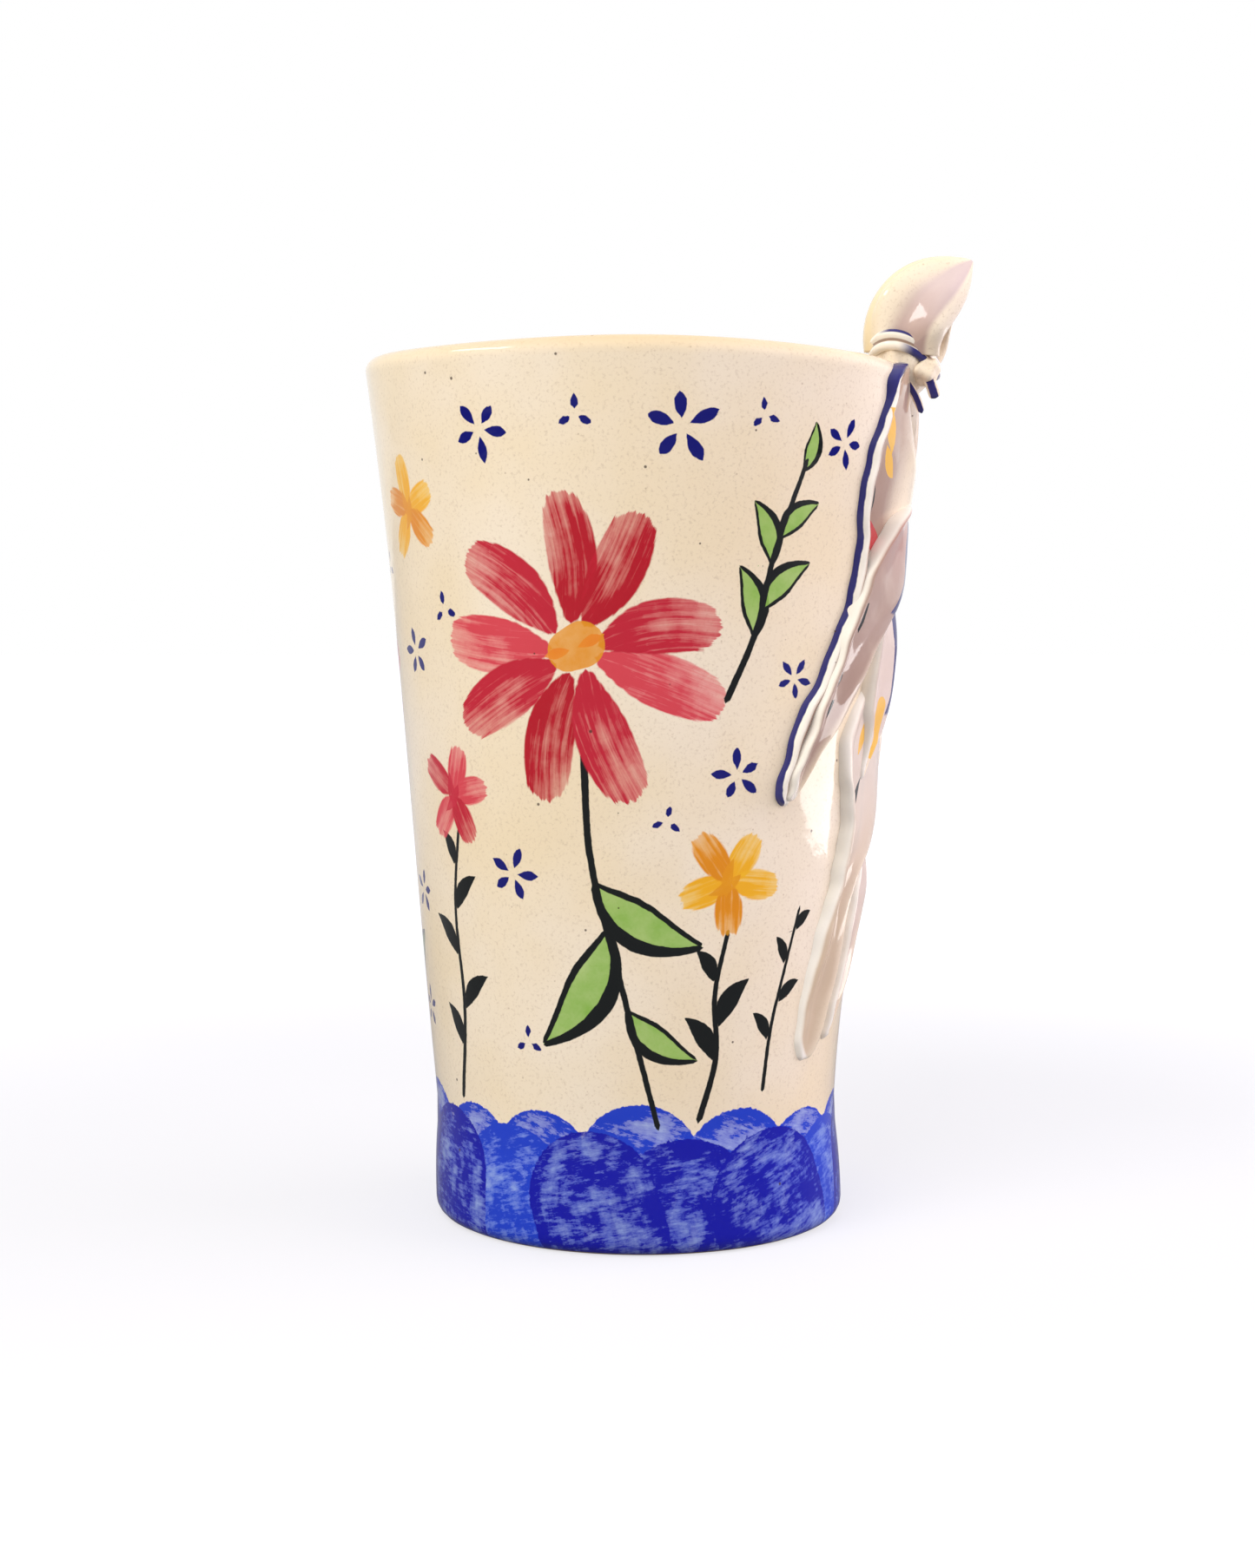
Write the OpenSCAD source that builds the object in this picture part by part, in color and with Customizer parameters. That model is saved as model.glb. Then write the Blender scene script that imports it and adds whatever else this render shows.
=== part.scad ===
// Tall glazed stoneware tumbler, made by hand from one sheet of clay.
// On one side the sheet is gathered at the lip, tied with a strip of clay and left to fall in folds.
// The whole thing is fired as a single piece. Lengths are millimetres and angles are degrees.
// The foot stands on the plane z = 0, and +Z points up through the mouth.
// Directions round the cup are counted from the front (-Y) towards the right (+X).

/* [Cup] */
// Height of the lip above the table
cup_h = 145; // [125:1:170]
// Width across the outside of the lip
mouth_d = 93; // [86:0.5:100]
// Width across the straight band above the foot
waist_d = 69.2; // [62:0.2:76]
// Height where the wall starts to lean out
waist_h = 20; // [12:1:30]
// How far the lip turns out beyond the straight taper
lip_flare = 0.9; // [0:0.1:2.5]
// Height of the stretch that turns out
flare_h = 45; // [30:1:60]
// How far the foot swells beyond the waist
foot_swell = 0.4; // [0:0.1:1]
// Rounding under the edge of the foot
foot_round = 2.5; // [1.5:0.1:3.5]
// Thickness of the wall
wall = 4.6; // [4:0.1:6]
// Thickness of the floor
floor_t = 6; // [4:0.5:9]
// Rounding between the inside wall and the floor
inner_round = 9; // [4:0.5:14]

/* [Drape] */
// Direction of the tie
tie_dir = 80; // [72:1:88]
// Direction of the bundle that hangs under the tie
bundle_dir = 90; // [86:1:96]
// Height of a fold's rolled edge above the wall
fold_rise = 2.6; // [1.8:0.1:3.4]
// Width of a fold's rolled edge
roll_w = 2.4; // [1.6:0.1:3]
// Share of the rise that is left in the hollow of a fold
hollow = 0.5; // [0.35:0.05:0.8]
// How deep the drape is rooted in the wall
fold_root = 1.8; // [1.4:0.1:2.2]
// Width of the hanging cloth where it leaves the tie, to each side
drape_start = 10.5; // [9:0.5:13]
// Reach of the hidden side's folds, as a share of the front's
back_share = 0.9; // [0.7:0.05:1]
// How much higher the hidden side's folds hang
back_lift = 9; // [4:1:14]
// How far the edges of the folds waver, in degrees
cloth_waver = 1.2; // [0:0.1:2]

/* [Lapel] */
// How far the lapel swings away from the bundle
lapel_swing = 40; // [34:1:42]
// Drop of the lapel's end below the lip
lapel_drop = 47; // [42:1:56]
// Greatest width of the lapel
lapel_w = 24; // [16:1:28]

/* [Tongue] */
// How far the tongue's tip swings away from the bundle
tongue_swing = 55.5; // [48:0.5:60]
// Drop of the tongue's tip below the lip
tongue_drop = 73; // [66:1:80]
// Drop at which the tongue leaves the bundle
tongue_leave = 27; // [22:1:34]
// Width of the tongue near its tip
tongue_w = 6.5; // [5:0.5:8]

/* [Long pleat] */
// How far the long pleat's tip swings away from the bundle
pleat_swing = 48; // [42:0.5:52]
// Drop of the long pleat's tip below the lip
pleat_drop = 115; // [108:1:118]
// Drop at which the long pleat leaves the bundle
pleat_leave = 71; // [64:1:76]
// Width of the long pleat near its tip
pleat_w = 7.5; // [5:0.5:9]

/* [Inner pleat] */
// How far the inner pleat's tip swings away from the bundle
inner_swing = 35; // [30:0.5:37]
// Drop of the inner pleat's tip below the lip
inner_drop = 113; // [106:1:117]
// Drop at which the inner pleat leaves the bundle
inner_leave = 77; // [72:1:82]
// Width of the inner pleat near its tip
inner_w = 5; // [4:0.5:6]

/* [Ruff] */
// Height of the ruff's top above the lip
ruff_h = 17; // [13:0.2:20]
// How far the ruff's tip leans out beyond the lip
ruff_lean = 9.4; // [7:0.2:12]
// How far the middle of the neck lies inside the lip's edge
neck_set = 2; // [1:0.2:3]
// Depth of the gathered neck, across the lip
neck_d = 10.4; // [9:0.2:12]
// Width of the gathered neck, along the lip
neck_w = 13; // [11:0.5:16]
// Thickness of the clay in the ruff
ruff_t = 2.2; // [1.8:0.1:2.8]

/* [Tie] */
// Width of the strip that ties the neck
strip_w = 3.2; // [2.4:0.1:4]
// Thickness of the strip
strip_t = 1.8; // [1.4:0.1:2.4]
// Width of the knot
knot_d = 5; // [4:0.2:6]
// Length of the longer loose end
tail_l = 7.5; // [5:0.5:10]

/* [Hidden] */

// Radii and heights of the cup
mouth_r = mouth_d / 2;
waist_r = waist_d / 2;
lip_r = wall / 2;
lip_z = cup_h - lip_r;
flare_z = cup_h - flare_h;
taper = (mouth_r - lip_flare - waist_r) / (lip_z - waist_h);
arc_steps = 8;
least_step = 0.2;
swell_at = 0.25;
swell_reach = 0.5;

function mix(a, b, t) = a + (b - a) * t;
function clamp(t) = min(1, max(0, t));
function ease(t) = clamp(t) * clamp(t) * (3 - 2 * clamp(t));
function bezier(p, t) =
    pow(1 - t, 3) * p[0] + 3 * pow(1 - t, 2) * t * p[1] + 3 * (1 - t) * t * t * p[2] + pow(t, 3) * p[3];

// The wall without its foot: straight band, even taper, then the lip turns out
function flare(z) = lip_flare * pow(max(0, z - flare_z) / (lip_z - flare_z), 2);
function wall_r(z) = waist_r + taper * max(0, z - waist_h) + flare(z);

// The foot swells a little, most at the share swell_at of the band's height
function swell(z) = foot_swell * max(0, 1 - pow((z / waist_h - swell_at) / swell_reach, 2));
function outer_r(z) = wall_r(z) + swell(z);

// Heights at which the outline bends
bend_z = concat(
    [for (share = [0.25, 0.4, 0.55, 0.75, 1]) waist_h * share],
    [for (share = [0, 0.25, 0.5, 0.75, 1]) mix(flare_z, lip_z, share)]
);

function turned(a) = [cos(a), sin(a)];
function arc(centre, r, from, to) =
    [for (i = [0 : arc_steps]) centre + r * turned(mix(from, to, i / arc_steps))];
function reversed(list) = [for (i = [len(list) - 1 : -1 : 0]) list[i]];

// Outline of the cup: underside, outside wall, round lip, inside wall, inside floor
foot_edge = arc([outer_r(foot_round) - foot_round, foot_round], foot_round, -90, 0);
outside = [for (z = bend_z) if (z > foot_round + least_step && z < lip_z) [outer_r(z), z]];
lip = arc([mouth_r - lip_r, lip_z], lip_r, 0, 180);
well_z = floor_t + inner_round;
inside = reversed([for (z = bend_z) if (z > well_z + least_step && z < lip_z) [wall_r(z) - wall, z]]);
well = arc([wall_r(well_z) - wall - inner_round, well_z], inner_round, 0, -90);

module cup() {
    color("antiquewhite")
        rotate_extrude()
            polygon(concat([[0, 0]], foot_edge, outside, lip, inside, well, [[0, floor_t]]));
}

// A point that stands h above the wall, in direction dir and at height z
function on_wall(dir, z, h) = [(outer_r(z) + h) * sin(dir), -(outer_r(z) + h) * cos(dir), z];
function mm_per_deg(z) = outer_r(z) * PI / 180;

// Lofted skin through rings of equally many points. A ring runs along its front and returns along
// its back, which holds back points. The ends are capped, or joined to each other in a closed loft.
function back_match(k, front, back) = round(k * (back - 1) / (front - 1));
function cap_faces(front, back) = [
    for (k = [0 : front - 2])
        let (
            last = front + back - 1,
            c = last - back_match(k, front, back),
            d = last - back_match(k + 1, front, back)
        )
            for (f = c == d ? [[k, k + 1, c]] : [[k, k + 1, c], [k + 1, d, c]]) f
];

module loft(rings, back = 0, closed = false) {
    count = len(rings);
    n = len(rings[0]);
    rear = back == 0 ? n / 2 : back;
    sides = [
        for (i = [0 : count - (closed ? 1 : 2)], j = [0 : n - 1], half = [0, 1])
            let (a = i * n + j, b = i * n + (j + 1) % n, up = ((i + 1) % count - i) * n)
                half == 0 ? [a, b + up, b] : [a, a + up, b + up]
    ];
    cap = cap_faces(n - rear, rear);
    ends = closed ? [] : concat(
        [for (f = cap) f],
        [for (f = cap) reversed([for (k = f) k + (count - 1) * n])]
    );
    polyhedron([for (ring = rings, p = ring) p], concat(sides, ends));
}

// The cloth hangs from the tie in one bundle, and its folds leave the bundle one below the other.
// At each height a fold runs from its own edge to the next fold's edge.
START = 0;  // direction of its edge at the tie
TOP = 1;    // direction of its edge where it leaves the bundle
SWING = 2;  // how far its tip swings away from the bundle
DROP = 3;   // drop of its tip below the lip
LEAVE = 4;  // drop at which it leaves the bundle
WIDTH = 5;  // its width near the tip
SPREAD = 6; // how much wider it is where it leaves the bundle
TIP = 7;    // height over which its tip rises from the wall
TURN = 8;   // how sharply it turns out of the bundle, from 0 to 1

cloth_z = lip_z - 0.5;
cloth_deg = drape_start / mm_per_deg(cloth_z);
at_edge = tie_dir - cloth_deg;
at_half = tie_dir - 0.5 * cloth_deg;
at_third = tie_dir - 0.3 * cloth_deg;
at_sixth = tie_dir - 0.15 * cloth_deg;
folds = [
    [at_edge, at_edge, lapel_swing, lapel_drop, cup_h - cloth_z, lapel_w, 0, 8, 0.45],
    [at_half, bundle_dir - 4, tongue_swing, tongue_drop, tongue_leave, tongue_w, 5, 5, 0.45],
    [at_third, bundle_dir - 21, pleat_swing, pleat_drop, pleat_leave, pleat_w, 1, 14, 0],
    [at_sixth, bundle_dir - 17, inner_swing, inner_drop, inner_leave, inner_w, 1, 9, 0]
];
cloth_rows = 40;
middle_turn = 2;   // direction of the cloth's middle from the bundle's
cloth_foot = cup_h - max([for (f = folds) f[DROP]]) - 3;
sink = 0.5;        // how far the cloth's outline lies inside the wall where there is no fold
step_w = 0.3;      // width of the step down at a fold's edge
least_lane = 1;    // least width of a fold's lane
least_share = 0.15; // width of a fold at its very tip, as a share
shoulder_h = 4;    // height over which the cloth sinks into the lip
shoulder_less = 0.6;
sag = 1.4;         // how a fold sags out of the bundle, as a power of the height
flick = 8;         // the same for a fold that turns out sharply
neck_in = 3;       // how the folds draw together at the tie, as a power of the height
waver_turn = 9;    // degrees of a waver's wave to each millimetre of height
waver_shift = 40;  // its shift from fold to fold, to each millimetre of width
waver_fade = 12;   // height under the lip over which it fades in

function tip_z(f) = cup_h - f[DROP];
function leave_z(f) = cup_h - f[LEAVE];
function climb(f, z) = clamp((z - tip_z(f)) / (leave_z(f) - tip_z(f)));
function sway(s, turn) = (1 - turn) * mix(pow(s, sag), ease(s), 0.5) + turn * pow(s, flick);
function waver(f, z) =
    cloth_waver * sin(waver_turn * z + waver_shift * f[WIDTH]) * ease((cloth_z - z) / waver_fade);
function gathered(f, z, power) = pow(clamp((z - leave_z(f)) / (cloth_z - leave_z(f))), power);
function edge_dir(f, z) =
    waver(f, z) + (z < leave_z(f)
        ? mix(bundle_dir - f[SWING], f[TOP], sway(climb(f, z), f[TURN]))
        : mix(f[TOP], f[START], gathered(f, z, neck_in)));

// Directions of all edges at height z, each kept clear of the one before it, and of the middle
function middle_dir(z) = mix(bundle_dir + middle_turn, tie_dir, gathered(folds[1], z, neck_in - 1));
function lane_edges(z, k = 0, before = -360) =
    let (
        wanted = k < len(folds) ? edge_dir(folds[k], z) : middle_dir(z),
        dir = max(wanted, before + least_lane / mm_per_deg(z))
    )
    k == len(folds) ? [dir] : concat([dir], lane_edges(z, k + 1, dir));

function risen(f, z) = let (s = clamp((z - tip_z(f)) / f[TIP])) sqrt(max(0, 1 - pow(1 - s, 2)));
function shoulder(z) = 1 - shoulder_less * ease((z - cloth_z + shoulder_h) / shoulder_h);

// A fold's section: its rolled edge as shares of the roll's width and of the rise, then its hollow
// as shares of the width that is left and of the way from the hollow up to the rise
roll_shape = [[0, 0.45], [0.25, 0.85], [0.6, 1]];
hollow_shape = [[0, 0.4], [0.35, 0], [0.7, 0.1], [1, -0.1]];
roll_end = 1.3;
roll_most = 0.45;

// One fold at height z, as [distance behind its edge, height above the wall]
function fold_points(f, z, lane) =
    let (
        share = risen(f, z),
        h = mix(-sink, fold_rise * shoulder(z), share),
        wanted = f[WIDTH] * (1 + f[SPREAD] * pow(climb(f, z), 3)),
        full = min(wanted, lane - 2.2 * step_w),
        w = full * max(least_share, share),
        shift = (full - w) / 2,
        roll = min(roll_w, roll_most * w),
        low = hollow * h,
        end = mix(-sink, low, clamp(wanted - lane + 1) * share)
    )
    concat(
        [for (q = roll_shape) [shift + q[0] * roll, mix(0, h, q[1])]],
        [for (q = hollow_shape) [shift + mix(roll_end * roll, w, q[0]), mix(low, h, q[1])]],
        [[shift + w + step_w, end], [lane - step_w, end]]
    );

function front_row(z) = let (edges = lane_edges(z), k_mm = mm_per_deg(z)) concat(
    [[edges[0] - 2 * step_w / k_mm, -sink]],
    [for (k = [0 : len(folds) - 1], q = fold_points(folds[k], z, (edges[k + 1] - edges[k]) * k_mm))
        [edges[k] + q[0] / k_mm, q[1]]]
);

// The hidden side's folds mirror the front's about the middle, but reach less far and hang higher
function cloth_row(z) =
    let (
        middle = lane_edges(z)[len(folds)],
        there = lane_edges(z - back_lift)[len(folds)],
        behind = [for (q = reversed(front_row(z - back_lift))) [middle + (there - q[0]) * back_share, q[1]]]
    )
    concat(front_row(z), behind);

root_points = 10;
function cloth_ring(z) =
    let (
        row = cloth_row(z),
        root = [for (m = [0 : root_points - 1]) row[round(m * (len(row) - 1) / (root_points - 1))][0]]
    )
    concat(
        [for (q = row) on_wall(q[0], z, q[1])],
        [for (dir = reversed(root)) on_wall(dir, z, -fold_root)]
    );

module drape() {
    color("linen")
        loft([for (i = [0 : cloth_rows]) cloth_ring(mix(cloth_foot, cloth_z, i / cloth_rows))], root_points);
}

// The neck, the ruff and the tie are drawn with +X pointing outwards and z counted from the lip
neck_x = mouth_r - neck_set;
neck_rx = neck_d / 2;
neck_ry = neck_w / 2;
module at_tie() {
    rotate([0, 0, tie_dir - 90])
        translate([0, 0, cup_h])
            children();
}

// Gathered neck: ovals that grow out of the wall, hold the strip and close inside the ruff.
// Each is [height, shift outwards, size as a share].
neck_steps = 20;
neck_levels = [
    [-11, -1.7, 0.12],
    [-7, -1.1, 0.5],
    [-4.5, -0.4, 0.86],
    [-2.4, 0, 0.97],
    [2.6, 0, 0.97],
    [3.3, 0, 0.7]
];
function oval(x, z, share) =
    [for (i = [0 : neck_steps - 1], q = [turned(360 * (i + 0.5) / neck_steps)])
        [x + share * neck_rx * q[0], share * neck_ry * q[1], z]];

module neck() {
    color("antiquewhite")
        loft([for (q = neck_levels) oval(neck_x + q[1], q[0], q[2])]);
}

// Ruff above the tie: a shell curled like a leaf, open outwards. Its spine climbs from the inner
// side of the neck and leans out over the lip, and both its edges run up to the same tip.
ruff_rows = 14;
ruff_cols = 22;
ruff_last = 0.985;
inset_most = 0.4;
tip_x = mouth_r + ruff_lean;
tip_up = ruff_h - 1.5;
curl_from = -97;
curl_to = 93;

// Control points of the spine, of both edges as [distance outwards, height], and of the half width
spine = [
    [neck_x - neck_rx - 1.5, 0.5],
    [neck_x - neck_rx - 2.9, 0.53 * ruff_h],
    [neck_x - 1.3, 1.12 * ruff_h],
    [tip_x, tip_up]
];
front_edge = [
    [neck_x + neck_rx - 1.6, -0.5],
    [neck_x + neck_rx - 2, 0.32 * ruff_h],
    [tip_x - 2.1, 0.44 * ruff_h],
    [tip_x, tip_up]
];
back_edge = [
    [neck_x + neck_rx - 1.5, -1],
    [neck_x + neck_rx - 0.4, 0.17 * ruff_h],
    [tip_x - 5.7, 0.46 * ruff_h],
    [tip_x, tip_up]
];
ruff_half = [neck_ry - 0.4, neck_ry + 2.2, neck_ry + 1.4, 0.6];

// Soft waves across the ruff: height, degrees of wave to each degree of curl, and shift
wave_h = 0.5;
wave_turn = 4.5;
wave_shift = 60;
function wave(t, a) = wave_h * ease(2.5 * t) * ease(3 - 3 * t) * sin(wave_turn * a + wave_shift);

// Point of the ruff at height share t and angle a round it, with inset clay taken off its outside
function ruff_point(t, a, inset) =
    let (
        s = bezier(spine, t),
        e = mix(bezier(front_edge, t), bezier(back_edge, t), (1 + sin(a)) / 2),
        long = norm(s - e),
        wide = bezier(ruff_half, t),
        less = min(inset, inset_most * long, inset_most * wide) - wave(t, a),
        p = e + (s - e) / long * (long - less) * cos(a)
    )
    [p[0], (wide - less) * sin(a), p[1]];

function ruff_ring(t) = concat(
    [for (j = [ruff_cols : -1 : 0]) ruff_point(t, mix(curl_from, curl_to, j / ruff_cols), 0)],
    [for (j = [0 : ruff_cols]) ruff_point(t, mix(curl_from, curl_to, j / ruff_cols), ruff_t)]
);

module ruff() {
    color("antiquewhite")
        loft([for (i = [0 : ruff_rows]) ruff_ring(ruff_last * i / ruff_rows)]);
}

// The strip goes round the neck, high over its front and back and low on its outer side
strip_steps = 32;
strip_corners = 8;
strip_low = -1.1;
strip_tilt = 1.5;
strip_arch = 2.9;
round_up = 1 / cos(180 / strip_corners);
function strip_point(a) = [
    neck_x + neck_rx * cos(a),
    neck_ry * sin(a),
    strip_low - strip_tilt * cos(a) + strip_arch * pow(abs(sin(a)), 1.5)
];
function strip_ring(a) = [
    for (k = [0 : strip_corners - 1])
        let (q = round_up / 2 * turned(-360 * (k + 0.5) / strip_corners), out = strip_t * q[0])
            strip_point(a) + [out * cos(a), out * sin(a), strip_w * q[1]]
];

module strip() {
    color("ivory")
        loft([for (i = [0 : strip_steps - 1]) strip_ring(360 * i / strip_steps)], closed = true);
}

// The knot sits at the outer front of the neck, and two loose ends hang from it
knot_at = [neck_x + neck_rx - 1.4, -0.58 * neck_ry, -3];
tail_r = 1.1;
tail_taper = 0.8;
tail_half = 0.8;
tail_in = 0.4;
tail_facets = 16;
tail_turn = 2.5;
module tail(along, length) {
    hull() {
        translate(knot_at)
            sphere(tail_r, $fn = tail_facets);
        for (side = [-tail_half, tail_half])
            translate(knot_at + [-tail_in, along + side, -length])
                sphere(tail_taper * tail_r, $fn = tail_facets);
    }
}

module knot() {
    color("ivory") {
        translate(knot_at)
            sphere(knot_d / 2);
        tail(-tail_turn, tail_l);
        tail(0.6 * tail_turn, 0.7 * tail_l);
    }
}

module tumbler() {
    cup();
    drape();
    at_tie() {
        neck();
        ruff();
        strip();
        knot();
    }
}

tumbler();
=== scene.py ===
# Looks of the tall tumbler: cream stoneware, painted with a brush, one side tied and draped like cloth.
# Lengths are millimetres until a mesh is made. Directions are degrees from the front (-Y) towards +X.
from collections import namedtuple

import bmesh
import bpy
import numpy as np
from mathutils import Euler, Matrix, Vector


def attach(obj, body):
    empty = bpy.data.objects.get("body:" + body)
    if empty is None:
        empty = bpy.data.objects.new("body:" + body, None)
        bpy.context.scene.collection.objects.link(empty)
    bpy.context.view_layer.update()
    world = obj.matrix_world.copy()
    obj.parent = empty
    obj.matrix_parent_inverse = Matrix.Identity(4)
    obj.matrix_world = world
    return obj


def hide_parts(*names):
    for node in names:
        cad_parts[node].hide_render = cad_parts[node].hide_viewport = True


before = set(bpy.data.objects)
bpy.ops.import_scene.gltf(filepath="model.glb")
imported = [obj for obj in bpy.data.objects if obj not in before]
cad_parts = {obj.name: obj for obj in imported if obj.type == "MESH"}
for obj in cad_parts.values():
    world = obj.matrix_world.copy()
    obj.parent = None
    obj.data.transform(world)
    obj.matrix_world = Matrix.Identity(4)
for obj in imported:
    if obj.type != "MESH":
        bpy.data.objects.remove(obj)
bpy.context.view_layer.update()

MM = 0.001
SEED = 11

# The cup, as in the part's source
CUP_H = 145.0
MOUTH_R = 46.5
WAIST_R = 34.6
WAIST_H = 20.0
LIP_FLARE = 0.9
FLARE_H = 45.0
FOOT_SWELL = 0.4
FOOT_ROUND = 2.5
WALL = 4.6
FLOOR_T = 6.0
INNER_ROUND = 9.0
LIP_R = WALL / 2
LIP_Z = CUP_H - LIP_R
FLARE_Z = CUP_H - FLARE_H
TAPER = (MOUTH_R - LIP_FLARE - WAIST_R) / (LIP_Z - WAIST_H)

# The tie, as in the part's source
TIE_DIR = 80.0
BUNDLE_DIR = 90.0
BACK_SHARE = 0.9
BACK_LIFT = 9.0
BACK_LIFT_OVER = 40.0
NECK_D = 10.4
NECK_W = 13.0
NECK_X = MOUTH_R - 2.0
NECK_RX = NECK_D / 2
NECK_RY = NECK_W / 2
RUFF_H = 17.0
RUFF_LEAN = 9.4
RUFF_T = 2.2
STRIP_W = 3.2
STRIP_T = 1.8


def ease(t):
    t = np.clip(t, 0, 1)
    return t * t * (3 - 2 * t)


def mix(a, b, t):
    return a + (b - a) * t


def wall_r(z):
    z = np.asarray(z, float)
    flare = LIP_FLARE * (np.maximum(0, z - FLARE_Z) / (LIP_Z - FLARE_Z)) ** 2
    return WAIST_R + TAPER * np.maximum(0, z - WAIST_H) + flare


def outer_r(z):
    swell = FOOT_SWELL * np.maximum(0, 1 - ((np.asarray(z, float) / WAIST_H - 0.25) / 0.5) ** 2)
    return wall_r(z) + swell


def around(gap):
    """An angle brought between -180 and 180 degrees."""
    return (np.asarray(gap, float) + 180) % 360 - 180


# What the hand left on the cup: the lip dips at the tie, and the wall isn't quite round
LIP_DIPS = [  # direction, dip
    (-180, 0.2), (-90, -0.2), (-47, -0.6), (0, 0.3), (30, -0.5),
    (47, -1.3), (78, -2.0), (115, -1.4), (150, -0.2), (180, 0.2),
]
LIP_DIPS_FROM = 95.0
LIP_SPREAD = 12.0
WALL_DENTS = [  # direction, height, reach sideways in degrees, reach in height, depth
    (84, 27, 24, 18, -0.7),
    (88, 80, 34, 90, -1.3),
    (80, 150, 12, 16, -1.0),
    (-88, 45, 40, 40, 0.35),
    (-20, 118, 30, 22, 0.25),
    (25, 70, 26, 30, -0.3),
    (160, 95, 45, 35, -0.5),
    (-140, 60, 35, 25, 0.4),
]
RIPPLE = 0.12
RIPPLES_ROUND = 3
RIPPLE_CLIMB = 2.1
RIPPLE_FROM = 15.0


def smooth_round(table, spread):
    """Values given at some directions, smoothed round the circle."""
    steps = np.arange(-180, 180)
    raw = np.interp(steps, [q[0] for q in table], [q[1] for q in table])
    weight = np.exp(-0.5 * (around(steps[:, None] - steps[None, :]) / spread) ** 2)
    return steps, (weight @ raw) / weight.sum(1)


LIP_TABLE = smooth_round(LIP_DIPS, LIP_SPREAD)


def lip_dip(direction, z):
    dip = np.interp(around(direction), *LIP_TABLE, period=360)
    return dip * ease((np.asarray(z, float) - LIP_DIPS_FROM) / (LIP_Z - LIP_DIPS_FROM))


def dented(direction, z):
    total = np.zeros(np.broadcast(direction, z).shape)
    for at, height, reach, tall, depth in WALL_DENTS:
        far = (around(direction - at) / reach) ** 2 + ((z - height) / tall) ** 2
        total += depth * np.exp(-far)
    ripple = np.sin(np.radians(RIPPLES_ROUND * direction + RIPPLE_CLIMB * z))
    return total + RIPPLE * ripple * ease(z / RIPPLE_FROM)


def on_wall(direction, z, h):
    """Points that stand h above the wall."""
    r = outer_r(z) + dented(direction, z) + h
    a = np.radians(direction)
    return np.stack([r * np.sin(a), -r * np.cos(a), z + lip_dip(direction, z)], -1)


def mm_per_deg(z):
    return outer_r(z) * np.pi / 180


# Meshes. Each vertex keeps an attribute hem: how far it lies in from the piece's left and right edge,
# and how far along the piece.

WELD = 1e-6
FAR = 99.0


def bent_grid(name, rows, cols, place):
    """A closed skin: a grid of quads put in place by place(u, v), its seams joined and its ends filled."""
    form = bmesh.new()
    bmesh.ops.create_grid(form, x_segments=cols, y_segments=rows, size=0.5)
    flat = np.array([v.co[:2] for v in form.verts]) + 0.5
    points, hem = place(flat[:, 0], flat[:, 1])
    layer = form.verts.layers.float_vector.new("hem")
    for vert, point, value in zip(form.verts, points * MM, hem):
        vert.co = point
        vert[layer] = value
    bmesh.ops.remove_doubles(form, verts=form.verts, dist=WELD)
    rims = [e for e in form.edges if e.is_boundary]
    if rims:
        bmesh.ops.holes_fill(form, edges=rims, sides=0)
    bmesh.ops.recalc_face_normals(form, faces=form.faces)
    mesh = bpy.data.meshes.new(name)
    form.to_mesh(mesh)
    form.free()
    mesh.shade_smooth()
    piece = bpy.data.objects.new(name, mesh)
    bpy.context.scene.collection.objects.link(piece)
    return piece


def no_hem(u):
    return np.tile([FAR, FAR, 0.0], (len(u), 1))


def quarter_round(t):
    """From 0 at 0 to 1 at 1, as a quarter of a circle."""
    return np.sqrt(np.clip(1 - (1 - np.clip(t, 0, 1)) ** 2, 0, 1))


def through(stations, s):
    """A smooth line through the stations, for s from 0 to 1."""
    p = np.asarray(stations, float)
    p = np.vstack([2 * p[0] - p[1], p, 2 * p[-1] - p[-2]])
    k = np.clip(s, 0, 1) * (len(p) - 3)
    i = np.minimum(k.astype(int), len(p) - 4)
    f = (k - i)[:, None]
    a, b, c, d = p[i], p[i + 1], p[i + 2], p[i + 3]
    return 0.5 * (2 * b + (c - a) * f + (2 * a - 5 * b + 4 * c - d) * f**2 + (3 * b - a - 3 * c + d) * f**3)


# The cup

CUP_COLS = 376
UNDER_ROWS = 6
FOOT_ROWS = 5
WALL_ROWS = 186
LIP_ROWS = 12
INSIDE_ROWS = 36
WELL_ROWS = 8
BOTTOM_ROWS = 4
DENTS_FROM_R = 20.0
SWELL_ENDS = UNDER_ROWS + FOOT_ROWS + WALL_ROWS + LIP_ROWS // 4


def bow(centre, r, start, end, steps):
    """Part of a circle in the outline, without its first point."""
    a = np.radians(np.linspace(start, end, steps + 1))[1:]
    return np.stack([centre[0] + r * np.cos(a), centre[1] + r * np.sin(a)], 1)


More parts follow.
